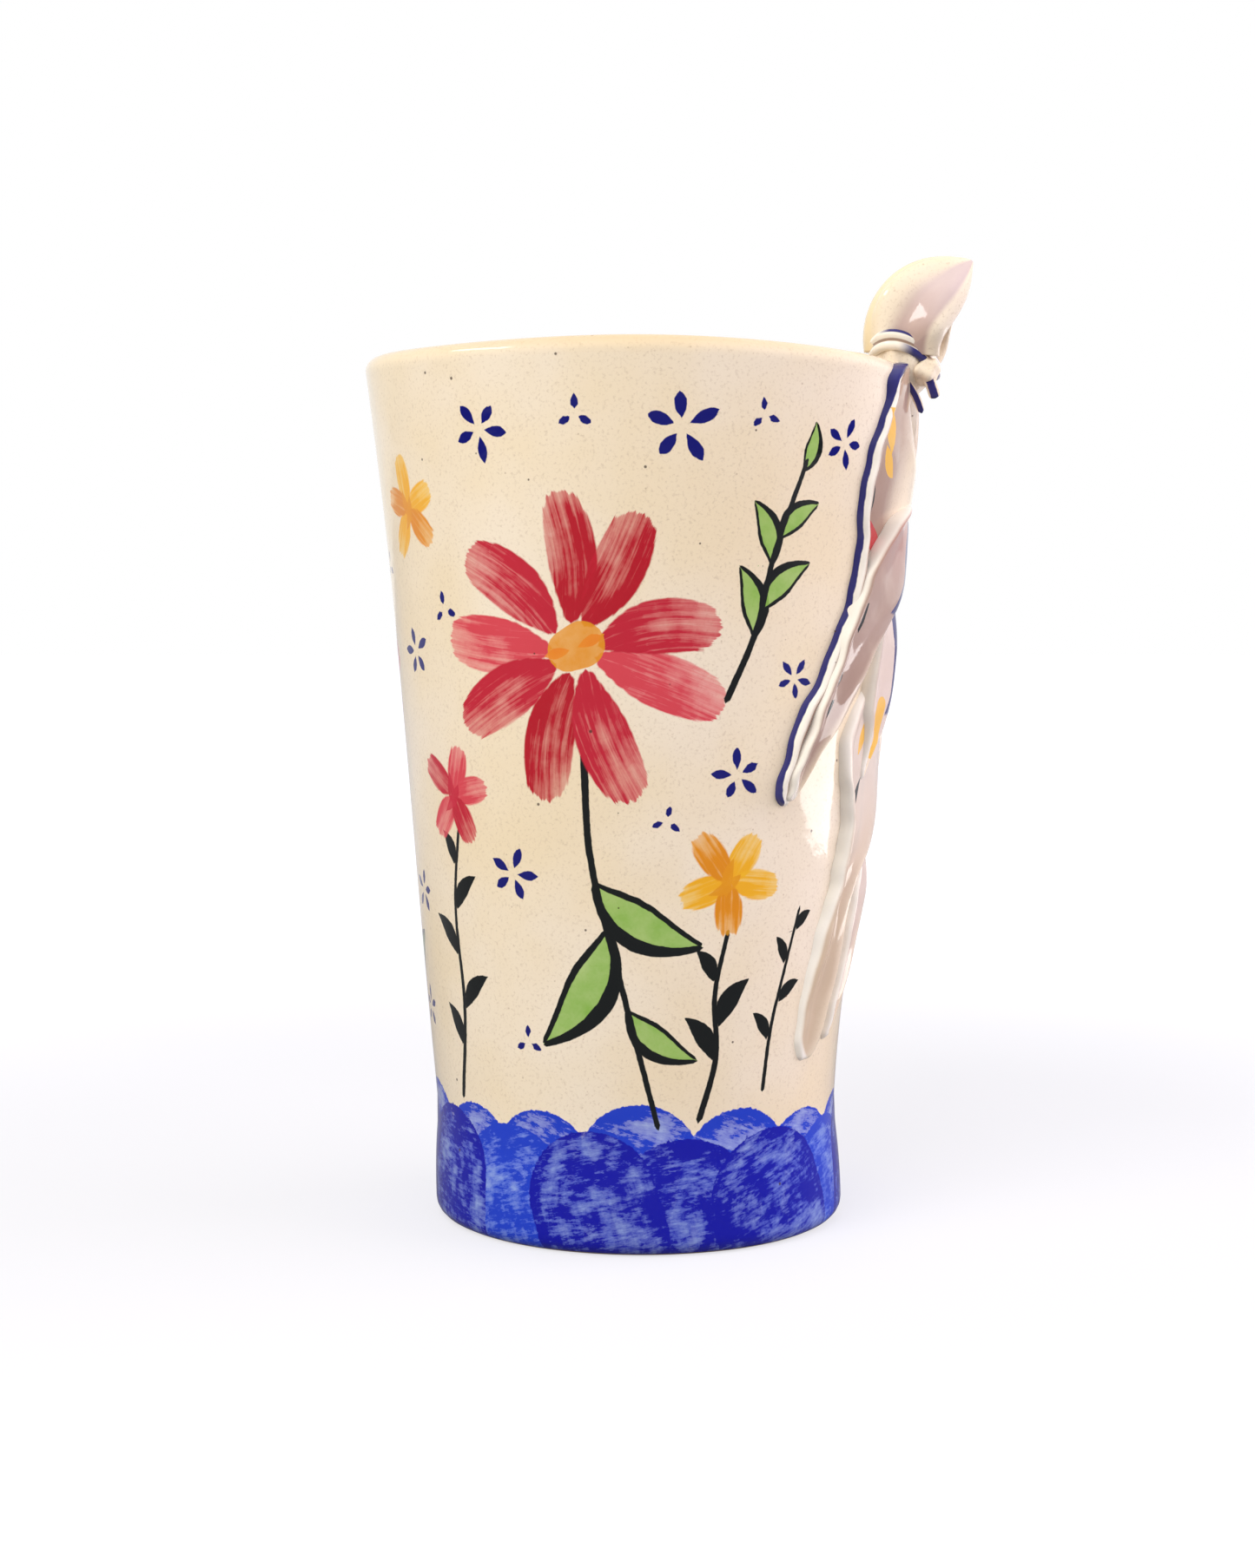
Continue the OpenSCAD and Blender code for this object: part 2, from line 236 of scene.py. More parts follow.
def cup_outline():
    """The closed outline as [distance from the axis, height], from below the middle round to above it."""
    foot_x = float(outer_r(FOOT_ROUND)) - FOOT_ROUND
    under = np.stack([np.linspace(0, foot_x, UNDER_ROWS + 1), np.zeros(UNDER_ROWS + 1)], 1)
    foot = bow((foot_x, FOOT_ROUND), FOOT_ROUND, -90, 0, FOOT_ROWS)
    z = np.linspace(FOOT_ROUND, LIP_Z, WALL_ROWS + 1)[1:]
    outside = np.stack([outer_r(z), z], 1)
    lip = bow((MOUTH_R - LIP_R, LIP_Z), LIP_R, 0, 180, LIP_ROWS)
    well_z = FLOOR_T + INNER_ROUND
    z = np.linspace(LIP_Z, well_z, INSIDE_ROWS + 1)[1:]
    inside = np.stack([wall_r(z) - WALL, z], 1)
    well = bow((float(wall_r(well_z)) - WALL - INNER_ROUND, well_z), INNER_ROUND, 0, -90, WELL_ROWS)
    bottom_x = np.linspace(well[-1, 0], 0, BOTTOM_ROWS + 1)[1:]
    bottom = np.stack([bottom_x, np.full(BOTTOM_ROWS, FLOOR_T)], 1)
    return np.concatenate([under, foot, outside, lip, inside, well, bottom])


HEM_SWELL = 0.6
HEM_REACH = 10.0
HEM_SWELL_FROM = 66.0
HEM_SWELL_FADES = (14.0, 8.0)


def hem_swell(direction, z):
    """The wall rises softly towards the lapel's hem, on both sides of the drape."""
    rise = np.zeros(np.broadcast(direction, z).shape)
    low, high = HEM_SWELL_FADES
    for side, stations in ((1, LAPEL), (-1, behind(LAPEL))):
        line = through(stations, np.linspace(0, 1, 200))[:, :2]
        order = np.argsort(line[:, 1])
        edge = np.interp(z, line[order, 1], line[order, 0])
        gap = around(edge - direction) * side * mm_per_deg(z)
        fade = ease((z - HEM_SWELL_FROM) / low) * ease((LIP_Z + 1 - z) / high)
        rise = np.maximum(rise, HEM_SWELL * fade * ease(1 - np.abs(gap) / HEM_REACH))
    return rise


def make_cup():
    outline = cup_outline()

    def place(u, v):
        row = np.rint(v * (len(outline) - 1)).astype(int)
        r, z = outline[row, 0], outline[row, 1]
        direction = u * 360 - 180
        outside = (row > UNDER_ROWS) & (row <= SWELL_ENDS)
        shift = dented(direction, z) * ease(r / DENTS_FROM_R) + np.where(outside, hem_swell(direction, z), 0)
        a = np.radians(direction)
        r = np.where(r > 0.01, r + shift, 0)
        return np.stack([r * np.sin(a), -r * np.cos(a), z + lip_dip(direction, z)], 1), no_hem(u)

    return bent_grid("tumbler_cup", len(outline) - 1, CUP_COLS, place)


# The drape. Each fold lies on the wall between a left and a right line, from the tie to its tip.
# A station is [left direction, left height, right direction, right height, crest of the rolled edge,
# height of the hollow, height of the ridge on the right, softness of the left edge if it has one].
def table(rows):
    return [tuple(float(word) for word in row.split()) for row in rows.strip().splitlines()]


LAPEL = table("""
69 145 78 144.5 .6 .3 .6
63.5 144 76 143 1.2 .8 .9
59.6 141.8 75 140.4 1.8 1.2 1.2
57.8 138 75 136.4 2.2 1.3 1.7
55.4 133.4 79 131.6 2.3 1.2 2.3
52.9 129 86 127.2 2.3 1.1 2.9
51.7 124.4 89 123 2.4 1 3.1
51.5 119.6 89 118.4 2.4 .9 2.9
51.9 114.8 84 113.6 2.4 .9 2.2
51.9 110.4 76 109.2 2.4 1 1.6
50.6 105.6 69 104 2.4 1.2 1.3
48.4 101.2 63 98.8 2.4 1.2 1.2
45.4 96.6 56.5 94.2 2.4 1.2 1.1
41.6 91.4 51 89.4 2.3 1.2 1
37.8 87 46.8 84.8 2.3 1.2 1
35 82 43.4 80.2 2.2 1.1 .9
33.2 77.4 40.6 76.4 2 1 .8
32.4 74 38.2 73.2 1.6 .9 .7
33.8 71.6 36.4 71.2 1 .6 .5
""")
TONGUE = table("""
85 122.4 91 120.4 2.6 2 2.2
77.5 120.6 88 117.4 3.1 2.2 2.8
69.4 118.6 86 114.2 3.4 2.2 3.1
62.2 115.4 85.5 110.6 3.6 2 3.3
56.6 111.6 84.5 107.2 3.7 1.8 3.3
53 107.6 78.5 103.4 3.7 1.7 3
50.2 103.4 72 100.2 3.6 1.6 2.6
47.6 98.8 66 96.4 3.5 1.5 2.2
44.9 94 60.8 92 3.4 1.4 2
42.1 89.4 55.8 87.8 3.3 1.4 1.8
39.5 84.9 51.4 83.8 3.2 1.4 1.7
37 80.4 46.4 80.2 3 1.4 1.6
35.2 76.6 43 76.6 2.5 1.4 1.4
34.8 73.6 39.6 73.6 1.7 1.1 1
35.8 72.2 37.8 72.2 .9 .7 .6
""")
LONG_PLEAT = table("""
76 96 88 95 .8 .7 .8 .4
67 91.6 88 90.4 .9 .7 .9 .3
60.2 87.8 88 86.6 1 .7 1.3 .2
56 84 88 83 1.2 .7 1.6 .1
54 80 88 79.4 1.4 .7 1.9 .1
55.4 75.6 88 75.2 1.9 .7 2.1 0
57.6 71.6 88 71.4 2.2 .7 2.2 0
57.9 67.6 86 67.4 2.3 .7 2.2 0
57 63.6 79 63.2 2.3 .7 2.1 0
55.6 59.8 70.5 59.6 2.2 .7 2 0
53.6 56 65.6 55.6 2.1 .7 1.9 .05
51 52 63.2 51.6 1.9 .7 1.8 .2
47.8 47.8 61.8 47 1.6 .7 1.8 .5
45.4 43.2 60 42.4 1.3 .7 1.8 .8
43.4 38.6 57.2 38 1.1 .7 1.7 .95
42.2 34.4 55.2 34 1 .6 1.5 1
43.8 31 53.4 31 .7 .5 1 1
46.6 29.2 51 29.4 .4 .3 .5 1
""")
INNER_PLEAT = table("""
76 62.6 85 62.4 1 .8 1
70.6 59.4 86 58.8 1.6 .8 1.6
66.4 56.2 85 55.6 2 .8 1.9
64.6 52.4 81 52 2.1 .8 1.8
62.8 48.4 76.4 47.8 2.1 .8 1.7
61 44.4 73.2 43.6 2 .8 1.6
59.2 40.4 68.8 39.8 1.9 .8 1.5
57.4 36.8 65.4 36.2 1.6 .7 1.2
56.6 33.8 62.6 33.6 1.1 .6 .9
57.6 31.8 60.2 31.8 .6 .4 .5
""")
EDGE_STRIP = table("""
76 106 88 105.6 1.4 1 1.6
70 101.6 86 101 2.2 1.3 2.6
66 97.4 85.5 96.6 2.5 1.2 3.2
64.4 92.6 85.5 92 2.5 1 3.2
64 87.6 85 87.2 2.4 1 3
64.8 83.2 82.5 83 2.1 .9 2.4
66.4 79.8 78 79.8 1.7 .8 1.7
66.6 76.4 72.4 76.4 1.2 .7 1.1
67 73.8 70.2 73.8 .6 .4 .5
""")
GATHERS = [table("""
76 143.6 81 143.4 1.4 1.1 1.4
77 138 83 137.6 2.4 1.5 2.2
80 131 88 130.4 2.6 1.4 2.3
85 123 94 122 2.6 1.3 2.3
88 113 96 112 2.4 1.2 2.1
89 104 96 103 1.8 .9 1.4
90.5 98 93.5 97.6 .8 .6 .8
"""), table("""
80.5 143.6 86 143.4 1.4 1.1 1.4
83 136 91 135.6 2.6 1.5 2.3
90 124 100 124 2.8 1.3 2.4
92 110 102 110 2.7 1.2 2.3
91 95 101 94 2.6 1.2 2.2
89 80 98 79 2.3 1.1 1.9
87.5 68 93 67 1.6 .9 1.3
88 62 90.5 61.6 .8 .5 .7
""")]
FOLD_ROWS = 220
FOLD_COLS = 46
TOP_SHARE = 0.9
FOLD_SINK = 1.1
ROLL = 1.3
SOFT_ROLL = 7.0
ROLL_FALL = 2.6
RIGHT_ROLL = 1.3
ROLL_MOST = 0.3
RIGHT_ROLL_MOST = 0.25
RIDGE_FROM = 0.45
RIDGE_OVER = 0.5
TIP_ROUND = 2.6
WAVER = 0.2
WAVERS = ((1.0, 0.55, 1.0), (0.6, 1.07, 2.3))  # size, turns along the fold, share of the phase
DIMPLE = 0.18
DIMPLE_TURNS = 0.31
DIMPLE_MARGIN = 3.0


def behind(stations):
    """The same fold on the hidden side: it reaches less far, hangs higher and rises from right to left."""
    def turned(direction):
        return BUNDLE_DIR + (BUNDLE_DIR - direction) * BACK_SHARE

    def lifted(z):
        return z + BACK_LIFT * float(ease((LIP_Z - z) / BACK_LIFT_OVER)) * BACK_SHARE

    return [
        (turned(left), lifted(left_z), turned(right), lifted(right_z), *rest)
        for left, left_z, right, right_z, *rest in stations
    ]


def with_softness(station):
    return (*station, 0)[:8]


def fold_section(x, width, crest, hollow, ridge, soft):
    """A fold's section at x from its left edge: rolled edge, hollow, ridge, rolled edge. Gives the height
    and how far one goes over the surface to reach the point, from the left and from the right."""
    roll = np.minimum(mix(ROLL, SOFT_ROLL, soft), ROLL_MOST * width)
    right = np.minimum(RIGHT_ROLL, RIGHT_ROLL_MOST * width)
    fall = np.minimum(ROLL_FALL, ROLL_MOST * width)
    rise = mix(quarter_round(x / roll), ease(x / roll), soft)
    drop = quarter_round((width - x) / right)
    middle = mix(crest, hollow, ease((x - roll) / fall))
    middle = mix(middle, ridge, ease((x - RIDGE_FROM * width) / (RIDGE_OVER * width)))
    return mix(-FOLD_SINK, middle, rise * drop), x + crest * rise, width - x + ridge * drop


def fold_length(stations):
    length = 0
    for a, b in zip(stations, stations[1:]):
        length += np.hypot((b[0] - a[0]) * float(mm_per_deg(a[1])), b[1] - a[1])
    return length


def make_fold(name, stations, phase):
    length = fold_length(stations)

    def place(u, v):
        rows = through([with_softness(station) for station in stations], v)
        left, left_z, right, right_z, crest, hollow, ridge, soft = rows.T
        top = u <= TOP_SHARE
        share = 0.5 - 0.5 * np.cos(np.pi * np.clip(u / TOP_SHARE, 0, 1))
        share = np.where(top, share, (1 - u) / (1 - TOP_SHARE))
        width = np.hypot((right - left) * mm_per_deg(left_z), right_z - left_z)
        along = v * length
        wave = WAVER * sum(size * np.sin(turns * along + part * phase) for size, turns, part in WAVERS)
        turn = np.sign(right - left) * wave / mm_per_deg(left_z) * (1 - share)
        direction = mix(left, right, share) + turn
        z = mix(left_z, right_z, share)
        x = share * width
        ends = quarter_round(np.minimum((1 - v) * length / TIP_ROUND, v * length / TIP_ROUND))
        h, from_left, from_right = fold_section(x, width, crest, hollow, ridge, np.clip(soft, 0, 1))
        inner = ease(x / DIMPLE_MARGIN) * ease((width - x) / DIMPLE_MARGIN)
        h = h + DIMPLE * np.sin(DIMPLE_TURNS * along + 2 * share + phase) * inner
        h = np.where(top, mix(-FOLD_SINK, h, ends), -FOLD_SINK)
        hem = np.stack([np.where(top, from_left, 0), np.where(top, from_right, 0), along], 1)
        return on_wall(direction, z, h), hem

    return bent_grid(name, FOLD_ROWS, FOLD_COLS, place)


# The ruff, its neck and the tie are laid out as [outwards, sideways, height above the lip]

def at_tie(points):
    a = np.radians(TIE_DIR - 90)
    x, y, z = points.T
    return np.stack([x * np.cos(a) - y * np.sin(a), x * np.sin(a) + y * np.cos(a), z + CUP_H], 1)


def bezier(p, t):
    return (1 - t) ** 3 * p[0] + 3 * (1 - t) ** 2 * t * p[1] + 3 * (1 - t) * t**2 * p[2] + t**3 * p[3]


TIP_X = MOUTH_R + RUFF_LEAN
TIP_UP = RUFF_H - 1.5
SPINE = (
    [NECK_X - NECK_RX - 1.5, NECK_X - NECK_RX - 2.9, NECK_X - 1.3, TIP_X],
    [0.5, 0.53 * RUFF_H, 1.12 * RUFF_H, TIP_UP],
)
FRONT_EDGE = (
    [NECK_X + NECK_RX - 1.6, NECK_X + NECK_RX - 2, TIP_X - 2.1, TIP_X],
    [-0.5, 0.32 * RUFF_H, 0.44 * RUFF_H, TIP_UP],
)
BACK_EDGE = (
    [NECK_X + NECK_RX - 1.5, NECK_X + NECK_RX - 0.4, TIP_X - 5.7, TIP_X],
    [-1, 0.17 * RUFF_H, 0.46 * RUFF_H, TIP_UP],
)
RUFF_HALF = [NECK_RY - 0.4, NECK_RY + 2.2, NECK_RY + 1.4, 0.6]
CURL_FROM = -97.0
CURL_TO = 93.0
RUFF_LAST = 0.985
RUFF_WAVE = 0.85
RUFF_WAVES = 7.2
RUFF_WAVE_AT = 45.0
RUFF_WAVE_CLIMB = 12.0
RUFF_CREASE = 0.2
RUFF_LONG = 25.0
RUFF_ROUND = 40.0
RUFF_INSIDE = 60.0
RIM_SHARE = 0.06
RIM_BULGE = 9.0


def ruff_wave(t, a):
    """The ruff's soft waves, which leave its foot, its tip and the line of its spine as they are."""
    free = ease(2.5 * t) * ease(3 - 3 * t) * ease((np.abs(a) - 12) / 25)
    wave = RUFF_WAVE * np.cos(np.radians(RUFF_WAVES * (np.abs(a) - RUFF_WAVE_AT + RUFF_WAVE_CLIMB * t)))
    return free * (wave + RUFF_CREASE * np.sin(9 * t + a / 15))


def ruff_point(t, a, inset):
    spine = np.stack([bezier(SPINE[0], t), bezier(SPINE[1], t)], 1)
    front = np.stack([bezier(FRONT_EDGE[0], t), bezier(FRONT_EDGE[1], t)], 1)
    back = np.stack([bezier(BACK_EDGE[0], t), bezier(BACK_EDGE[1], t)], 1)
    sin, cos = np.sin(np.radians(a)), np.cos(np.radians(a))
    edge = mix(front, back, ((1 + sin) / 2)[:, None])
    span = spine - edge
    long = np.hypot(*span.T)
    wide = bezier(RUFF_HALF, t)
    less = np.minimum(inset, 0.4 * np.minimum(long, wide)) - ruff_wave(t, a)
    p = edge + span / long[:, None] * ((long - less) * cos)[:, None]
    return np.stack([p[:, 0], (wide - less) * sin, p[:, 1]], 1)


def make_ruff():
    def place(u, v):
        half = 0.5 - RIM_SHARE
        outer = u < half
        first_rim = (u >= half) & (u < 0.5)
        inner = (u >= 0.5) & (u < 1 - RIM_SHARE)
        turn = np.pi * np.where(first_rim, (u - half) / RIM_SHARE, (u - 1 + RIM_SHARE) / RIM_SHARE)
        bulge = RIM_BULGE * np.sin(np.clip(turn, 0, np.pi))
        a = np.select(
            [outer, first_rim, inner],
            [mix(CURL_TO, CURL_FROM, u / half), CURL_FROM - bulge, mix(CURL_FROM, CURL_TO, (u - 0.5) / half)],
            CURL_TO + bulge,
        )
        fill = 0.5 - 0.5 * np.cos(np.clip(turn, 0, np.pi))
        inset = RUFF_T * np.select([outer, first_rim, inner], [0 * u, fill, 1 + 0 * u], 1 - fill)
        across = np.where(inner, RUFF_INSIDE, mix(0, RUFF_ROUND, (a - CURL_FROM) / (CURL_TO - CURL_FROM)))
        return at_tie(ruff_point(RUFF_LAST * v, a, inset)), np.stack([across, 0 * u + FAR, RUFF_LONG * v], 1)

    return bent_grid("ruff", 90, 140, place)


NECK_LEVELS = [  # height, shift outwards, size
    (-12, -2.2, 0.1), (-9, -1.6, 0.36), (-7, -1.1, 0.55), (-4.5, -0.4, 0.86),
    (-2.4, 0, 0.97), (0, 0, 0.97), (2.6, 0, 0.97), (3.3, 0, 0.7),
]
NECK_CREASES = 9
NECK_CREASE = 0.05


def make_neck():
    def place(u, v):
        z, out, size = through(NECK_LEVELS, v).T
        a = 2 * np.pi * u
        size = size * (1 + NECK_CREASE * np.sin(NECK_CREASES * a) * ease((1 - v) * 2.5))
        x = NECK_X + out + size * NECK_RX * np.cos(a)
        return at_tie(np.stack([x, size * NECK_RY * np.sin(a), z], 1)), no_hem(u)

    return bent_grid("gathered_neck", 40, 72, place)


STRIP_LOW = -1.1
STRIP_TILT = 1.5
STRIP_ARCH = 2.9
STRIP_HALF_W = 0.54 * STRIP_W
STRIP_HALF_T = 0.56 * STRIP_T
STRIP_GROOVE = 0.5
STRIP_GROOVE_WIDTH = 0.32
STRIP_ROUND = 10.0


def strip_line(a):
    x = NECK_X + NECK_RX * np.cos(a)
    z = STRIP_LOW - STRIP_TILT * np.cos(a) + STRIP_ARCH * np.abs(np.sin(a)) ** 1.5
    return np.stack([x, NECK_RY * np.sin(a), z], 1)


def blunted(value, power):
    return np.sign(value) * np.abs(value) ** power


def make_strip():
    def place(u, v):
        a, b = 2 * np.pi * v, 2 * np.pi * u
        dent = np.exp(-((np.sin(b) / STRIP_GROOVE_WIDTH) ** 2)) * (np.cos(b) > 0)
        out = STRIP_HALF_T * (1 - STRIP_GROOVE * dent) * blunted(np.cos(b), 0.8)
        up = STRIP_HALF_W * np.sin(b)
        p = strip_line(a) + np.stack([out * np.cos(a), out * np.sin(a), up], 1)
        return at_tie(p), np.stack([0.5 * STRIP_W + up, 0 * u + FAR, STRIP_ROUND * v], 1)

    return bent_grid("tying_strip", 120, 28, place)


BAND_LONG = 8.0
BAND_AHEAD = 0.01


def make_band(name, path, half_w, half_t):
    """A flat strip of clay with round edges along a path of [outwards, sideways, height]."""
    def place(u, v):
        ahead = through(path, np.clip(v + BAND_AHEAD, 0, 1)) - through(path, np.clip(v - BAND_AHEAD, 0, 1))
        ahead /= np.linalg.norm(ahead, axis=1)[:, None]
        side = np.cross(ahead, [0, 1.0, 0])
        side /= np.linalg.norm(side, axis=1)[:, None]
        face = np.cross(side, ahead)
        b = 2 * np.pi * u
        end = np.sqrt(np.clip(1 - (2 * v - 1) ** 12, 0.02, 1))
        w = half_w * end * blunted(np.cos(b), 0.7)
        t = half_t * end * np.sin(b)
        p = through(path, v) + side * w[:, None] + face * t[:, None]
        return at_tie(p), np.stack([1 + w / half_w, 1 - w / half_w, BAND_LONG * v], 1)

    return bent_grid(name, 36, 24, place)


KNOT_AT = np.array([NECK_X + NECK_RX - 1.4, -0.58 * NECK_RY, -3.0])
KNOT_SIZE = (2.3, 2.5, 2.3)


def make_knot():
    def place(u, v):
        a, b = 2 * np.pi * u, np.pi * (v - 0.5)
        lump = 1 + 0.09 * np.sin(2 * a + 4 * b) + 0.06 * np.sin(5 * a - 3 * b)
        p = np.stack([np.cos(a) * np.cos(b), np.sin(a) * np.cos(b), np.sin(b)], 1)
        return at_tie(KNOT_AT + p * KNOT_SIZE * lump[:, None]), no_hem(u)

    return bent_grid("knot", 36, 48, place)


TAILS = {  # path from the knot, half width, half thickness
    "loose_end_short": (
        [(0.1, -0.2, 0.2), (0.4, -0.9, -1.0), (1.1, -1.0, -2.7), (1.7, -0.9, -4.6)],
        0.95, 0.6,
    ),
    "loose_end_long": (
        [
            (0, -0.2, 0.4), (-1.4, -0.8, 0.1), (-2.7, -0.9, -0.9), (-2.9, -0.9, -2.0),
            (-2.1, -1.0, -3.2), (-1.3, -1.0, -4.8), (-0.5, -1.0, -7.0),
        ],
        0.7, 0.5,
    ),
}


# The painting. A stroke is a path of [x, y] in millimetres about a place on the wall, with a width along it.

def ink(red, green, blue):
    """A painted colour, given as it is seen, as the shader wants it."""
    c = np.array([red, green, blue]) / 255
    return np.where(c <= 0.04045, c / 12.92, ((c + 0.055) / 1.055) ** 2.4)


RED = ink(196, 20, 46)
ROSE = ink(206, 40, 66)
PINK = ink(224, 84, 98)
AMBER = ink(232, 158, 24)
YELLOW = ink(244, 190, 40)
ORANGE = ink(236, 142, 34)
LEAF = ink(148, 192, 84)
OLIVE = ink(112, 156, 78)
PINE = ink(4, 14, 14)
NAVY = ink(10, 14, 128)
COBALT = ink(3, 10, 178)
AZURE = ink(30, 72, 210)

LINE, PETAL, WASH, TINT = 0, 1, 2, 3  # kinds of stroke


class Stroke:
    def __init__(self, at, path, width, colour, kind):
        self.at, self.colour, self.kind = at, colour, kind
        self.path = np.asarray(path, float)
        steps = np.linspace(0, 1, len(width))
        lengths = np.concatenate([[0], np.cumsum(np.linalg.norm(np.diff(self.path, axis=0), axis=1))])
        self.along = lengths
        self.width = np.interp(lengths / lengths[-1], steps, width)

    def touch(self, x, y):
        """For points: distance along the path, signed distance off it, and how far inside the edge."""
        best = np.full(x.shape, 1e9)
        u, v = np.zeros_like(best), np.zeros_like(best)
        last = len(self.path) - 2
        for i, (a, b) in enumerate(zip(self.path, self.path[1:])):
            d = b - a
            size = float(np.hypot(*d)) + 1e-9
            free = ((x - a[0]) * d[0] + (y - a[1]) * d[1]) / size**2
            t = np.clip(free, 0, 1)
            off = np.hypot(x - a[0] - t * d[0], y - a[1] - t * d[1])
            side = ((x - a[0]) * d[1] - (y - a[1]) * d[0]) / size
            near = off - mix(self.width[i], self.width[i + 1], t)
            closer = near < best
            best = np.where(closer, near, best)
            beyond = (i == 0) & (free < 0) | (i == last) & (free > 1)
            u = np.where(closer, self.along[i] + np.where(beyond, free, t) * size, u)
            v = np.where(closer, side, v)
        return u, v, -best


def bow_path(start, end, bend, steps=9):
    """A path that bows to its left by bend."""
    s = np.linspace(0, 1, steps)[:, None]
    start, end = np.asarray(start, float), np.asarray(end, float)
    d = end - start
    side = np.array([-d[1], d[0]]) / (np.hypot(*d) + 1e-9)
    return start + d * s + side * bend * 4 * s * (1 - s)


def aim(angle, length, start=(0, 0)):
    a = np.radians(angle)
    return (start[0] + length * np.cos(a), start[1] + length * np.sin(a))


def dab(at, start, end, bend, width, colour, kind):
    """A stroke from start to end."""
    return Stroke(at, bow_path(start, end, bend), width, colour, kind)


PETAL_WIDTH = np.array([0.35, 0.62, 0.85, 0.97, 1.0, 0.97, 0.86])
LEAF_WIDTH = np.array([0.12, 0.62, 0.95, 1.0, 0.82, 0.5, 0.1])
DROP_WIDTH = np.array([0.15, 0.6, 0.95, 1.0, 0.55])
STEM_WIDTH = np.array([1.0, 0.9, 0.8, 0.7])
INNER_LINE_WIDTH = np.array([0.8, 1.2, 1.2, 1.0, 1.0, 0.8])
OUTER_LINE_WIDTH = np.array([0.8, 1.2, 1.7, 1.6, 1.1, 0.7])


def every_other(count):
    """0, 2, 4 and on, then 1, 3, 5 and on."""
    return [*range(0, count, 2), *range(1, count, 2)]


def large_flower(at, size, petals, turn, colours, rng):
    """Broad petals, each one pull of a wide brush, round an amber eye."""
    strokes = []
    for k in every_other(petals):
        angle = turn + 360 * k / petals + rng.uniform(-5, 5)
        reach = size * rng.uniform(0.9, 1.06)
        start, end = aim(angle, 0.25 * size), aim(angle + rng.uniform(-5, 5), reach)
        width = 0.205 * size * rng.uniform(0.94, 1.06) * PETAL_WIDTH
        bend = rng.uniform(-0.06, 0.06) * size
        strokes.append(dab(at, start, end, bend, width, colours[k % len(colours)], PETAL))
    eye = [0.15 * size, 0.17 * size]
    strokes.append(dab(at, (-0.05 * size, -0.02 * size), (0.06 * size, 0.03 * size), 0, eye, AMBER, TINT))
    for angle in (20, 200):
        start, end = aim(angle, 0.04 * size), aim(angle + rng.uniform(-12, 12), 0.2 * size)
        strokes.append(dab(at, start, end, 0, 0.04 * size * DROP_WIDTH, ORANGE, TINT))
    return strokes


def small_blossom(at, size, colours, turn, rng):
    """Five round petals in two tones, with a darker heart."""
    strokes = []
    for k in every_other(5):
        angle = turn + 72 * k + rng.uniform(-8, 8)
        end = aim(angle, size * rng.uniform(0.86, 1.05))
        width = 0.34 * size * PETAL_WIDTH
        strokes.append(dab(at, aim(angle, 0.15 * size), end, 0, width, colours[k % 2], PETAL))
    for angle in (turn + 20, turn + 150):
        start, end = aim(angle + 180, 0.3 * size), aim(angle, 0.5 * size)
        strokes.append(dab(at, start, end, 0.06 * size, 0.13 * size * LEAF_WIDTH, colours[1], TINT))
    return strokes


def blue_flower(at, size, turn, rng):
    """A little flower of five separate drops."""
    strokes = []
    for k in every_other(5):
        angle = turn + 72 * k + rng.uniform(-7, 7)
        start, end = aim(angle, 0.3 * size), aim(angle, size * rng.uniform(0.85, 1.1))
        strokes.append(dab(at, start, end, 0, 0.2 * size * DROP_WIDTH, NAVY, LINE))
    return strokes


def three_dots(at, size, turn):
    strokes = []
    for angle in (turn, turn + 120, turn + 240):
        spot = [aim(angle, 0.75 * size), aim(angle, size)]
        strokes.append(Stroke(at, spot, [0.3 * size, 0.24 * size], NAVY, LINE))
    return strokes


def side_line(path, width, side):
    """The line along one edge of a stroke."""
    path = np.asarray(path, float)
    run = np.gradient(path, axis=0)
    run /= np.linalg.norm(run, axis=1)[:, None]
    wide = np.interp(np.linspace(0, 1, len(path)), np.linspace(0, 1, len(width)), width)
    return path + side * wide[:, None] * np.stack([-run[:, 1], run[:, 0]], 1)


def leaf(at, root, heading, side, length, width, green):
    """A slim leaf of one stroke, or a larger one: a watery green filled in between two dark lines."""
    tip = aim(heading, length, root)
    bend = -side * 0.1 * length
    if green is None:
        return [dab(at, aim(heading, 0.9, root), tip, bend, width * LEAF_WIDTH, PINE, LINE)]
    blade = bow_path(root, tip, bend, 13)
    outer = side_line(blade, 0.92 * width * LEAF_WIDTH, -side)
    inner = side_line(blade, 0.96 * width * LEAF_WIDTH, side)
    return [
        Stroke(at, blade, width * LEAF_WIDTH, green, TINT),
        Stroke(at, inner, 0.13 * width * INNER_LINE_WIDTH, PINE, LINE),
        Stroke(at, outer, 0.2 * width * OUTER_LINE_WIDTH, PINE, LINE),
    ]


def leafy_stem(at, path, width, leaves, green=None):
    """A stem with leaves. A leaf is [place along the stem, side, length, half width, angle off the stem]."""
    strokes = []
    path = np.asarray(path, float)
    marks = np.linspace(0, 1, len(path))

    def spot(place):
        return np.array([np.interp(place, marks, path[:, 0]), np.interp(place, marks, path[:, 1])])

    for place, side, length, leaf_w, angle in leaves:
        ahead = spot(min(1, place + 0.1)) - spot(max(0, place - 0.1))
        heading = np.degrees(np.arctan2(ahead[1], ahead[0])) + side * angle
        strokes += leaf(at, spot(place), heading, side, length, leaf_w, green)
    strokes.append(Stroke(at, path, width * STEM_WIDTH, PINE, LINE))
    return strokes


def curve(*points):
    return through(points, np.linspace(0, 1, 14))


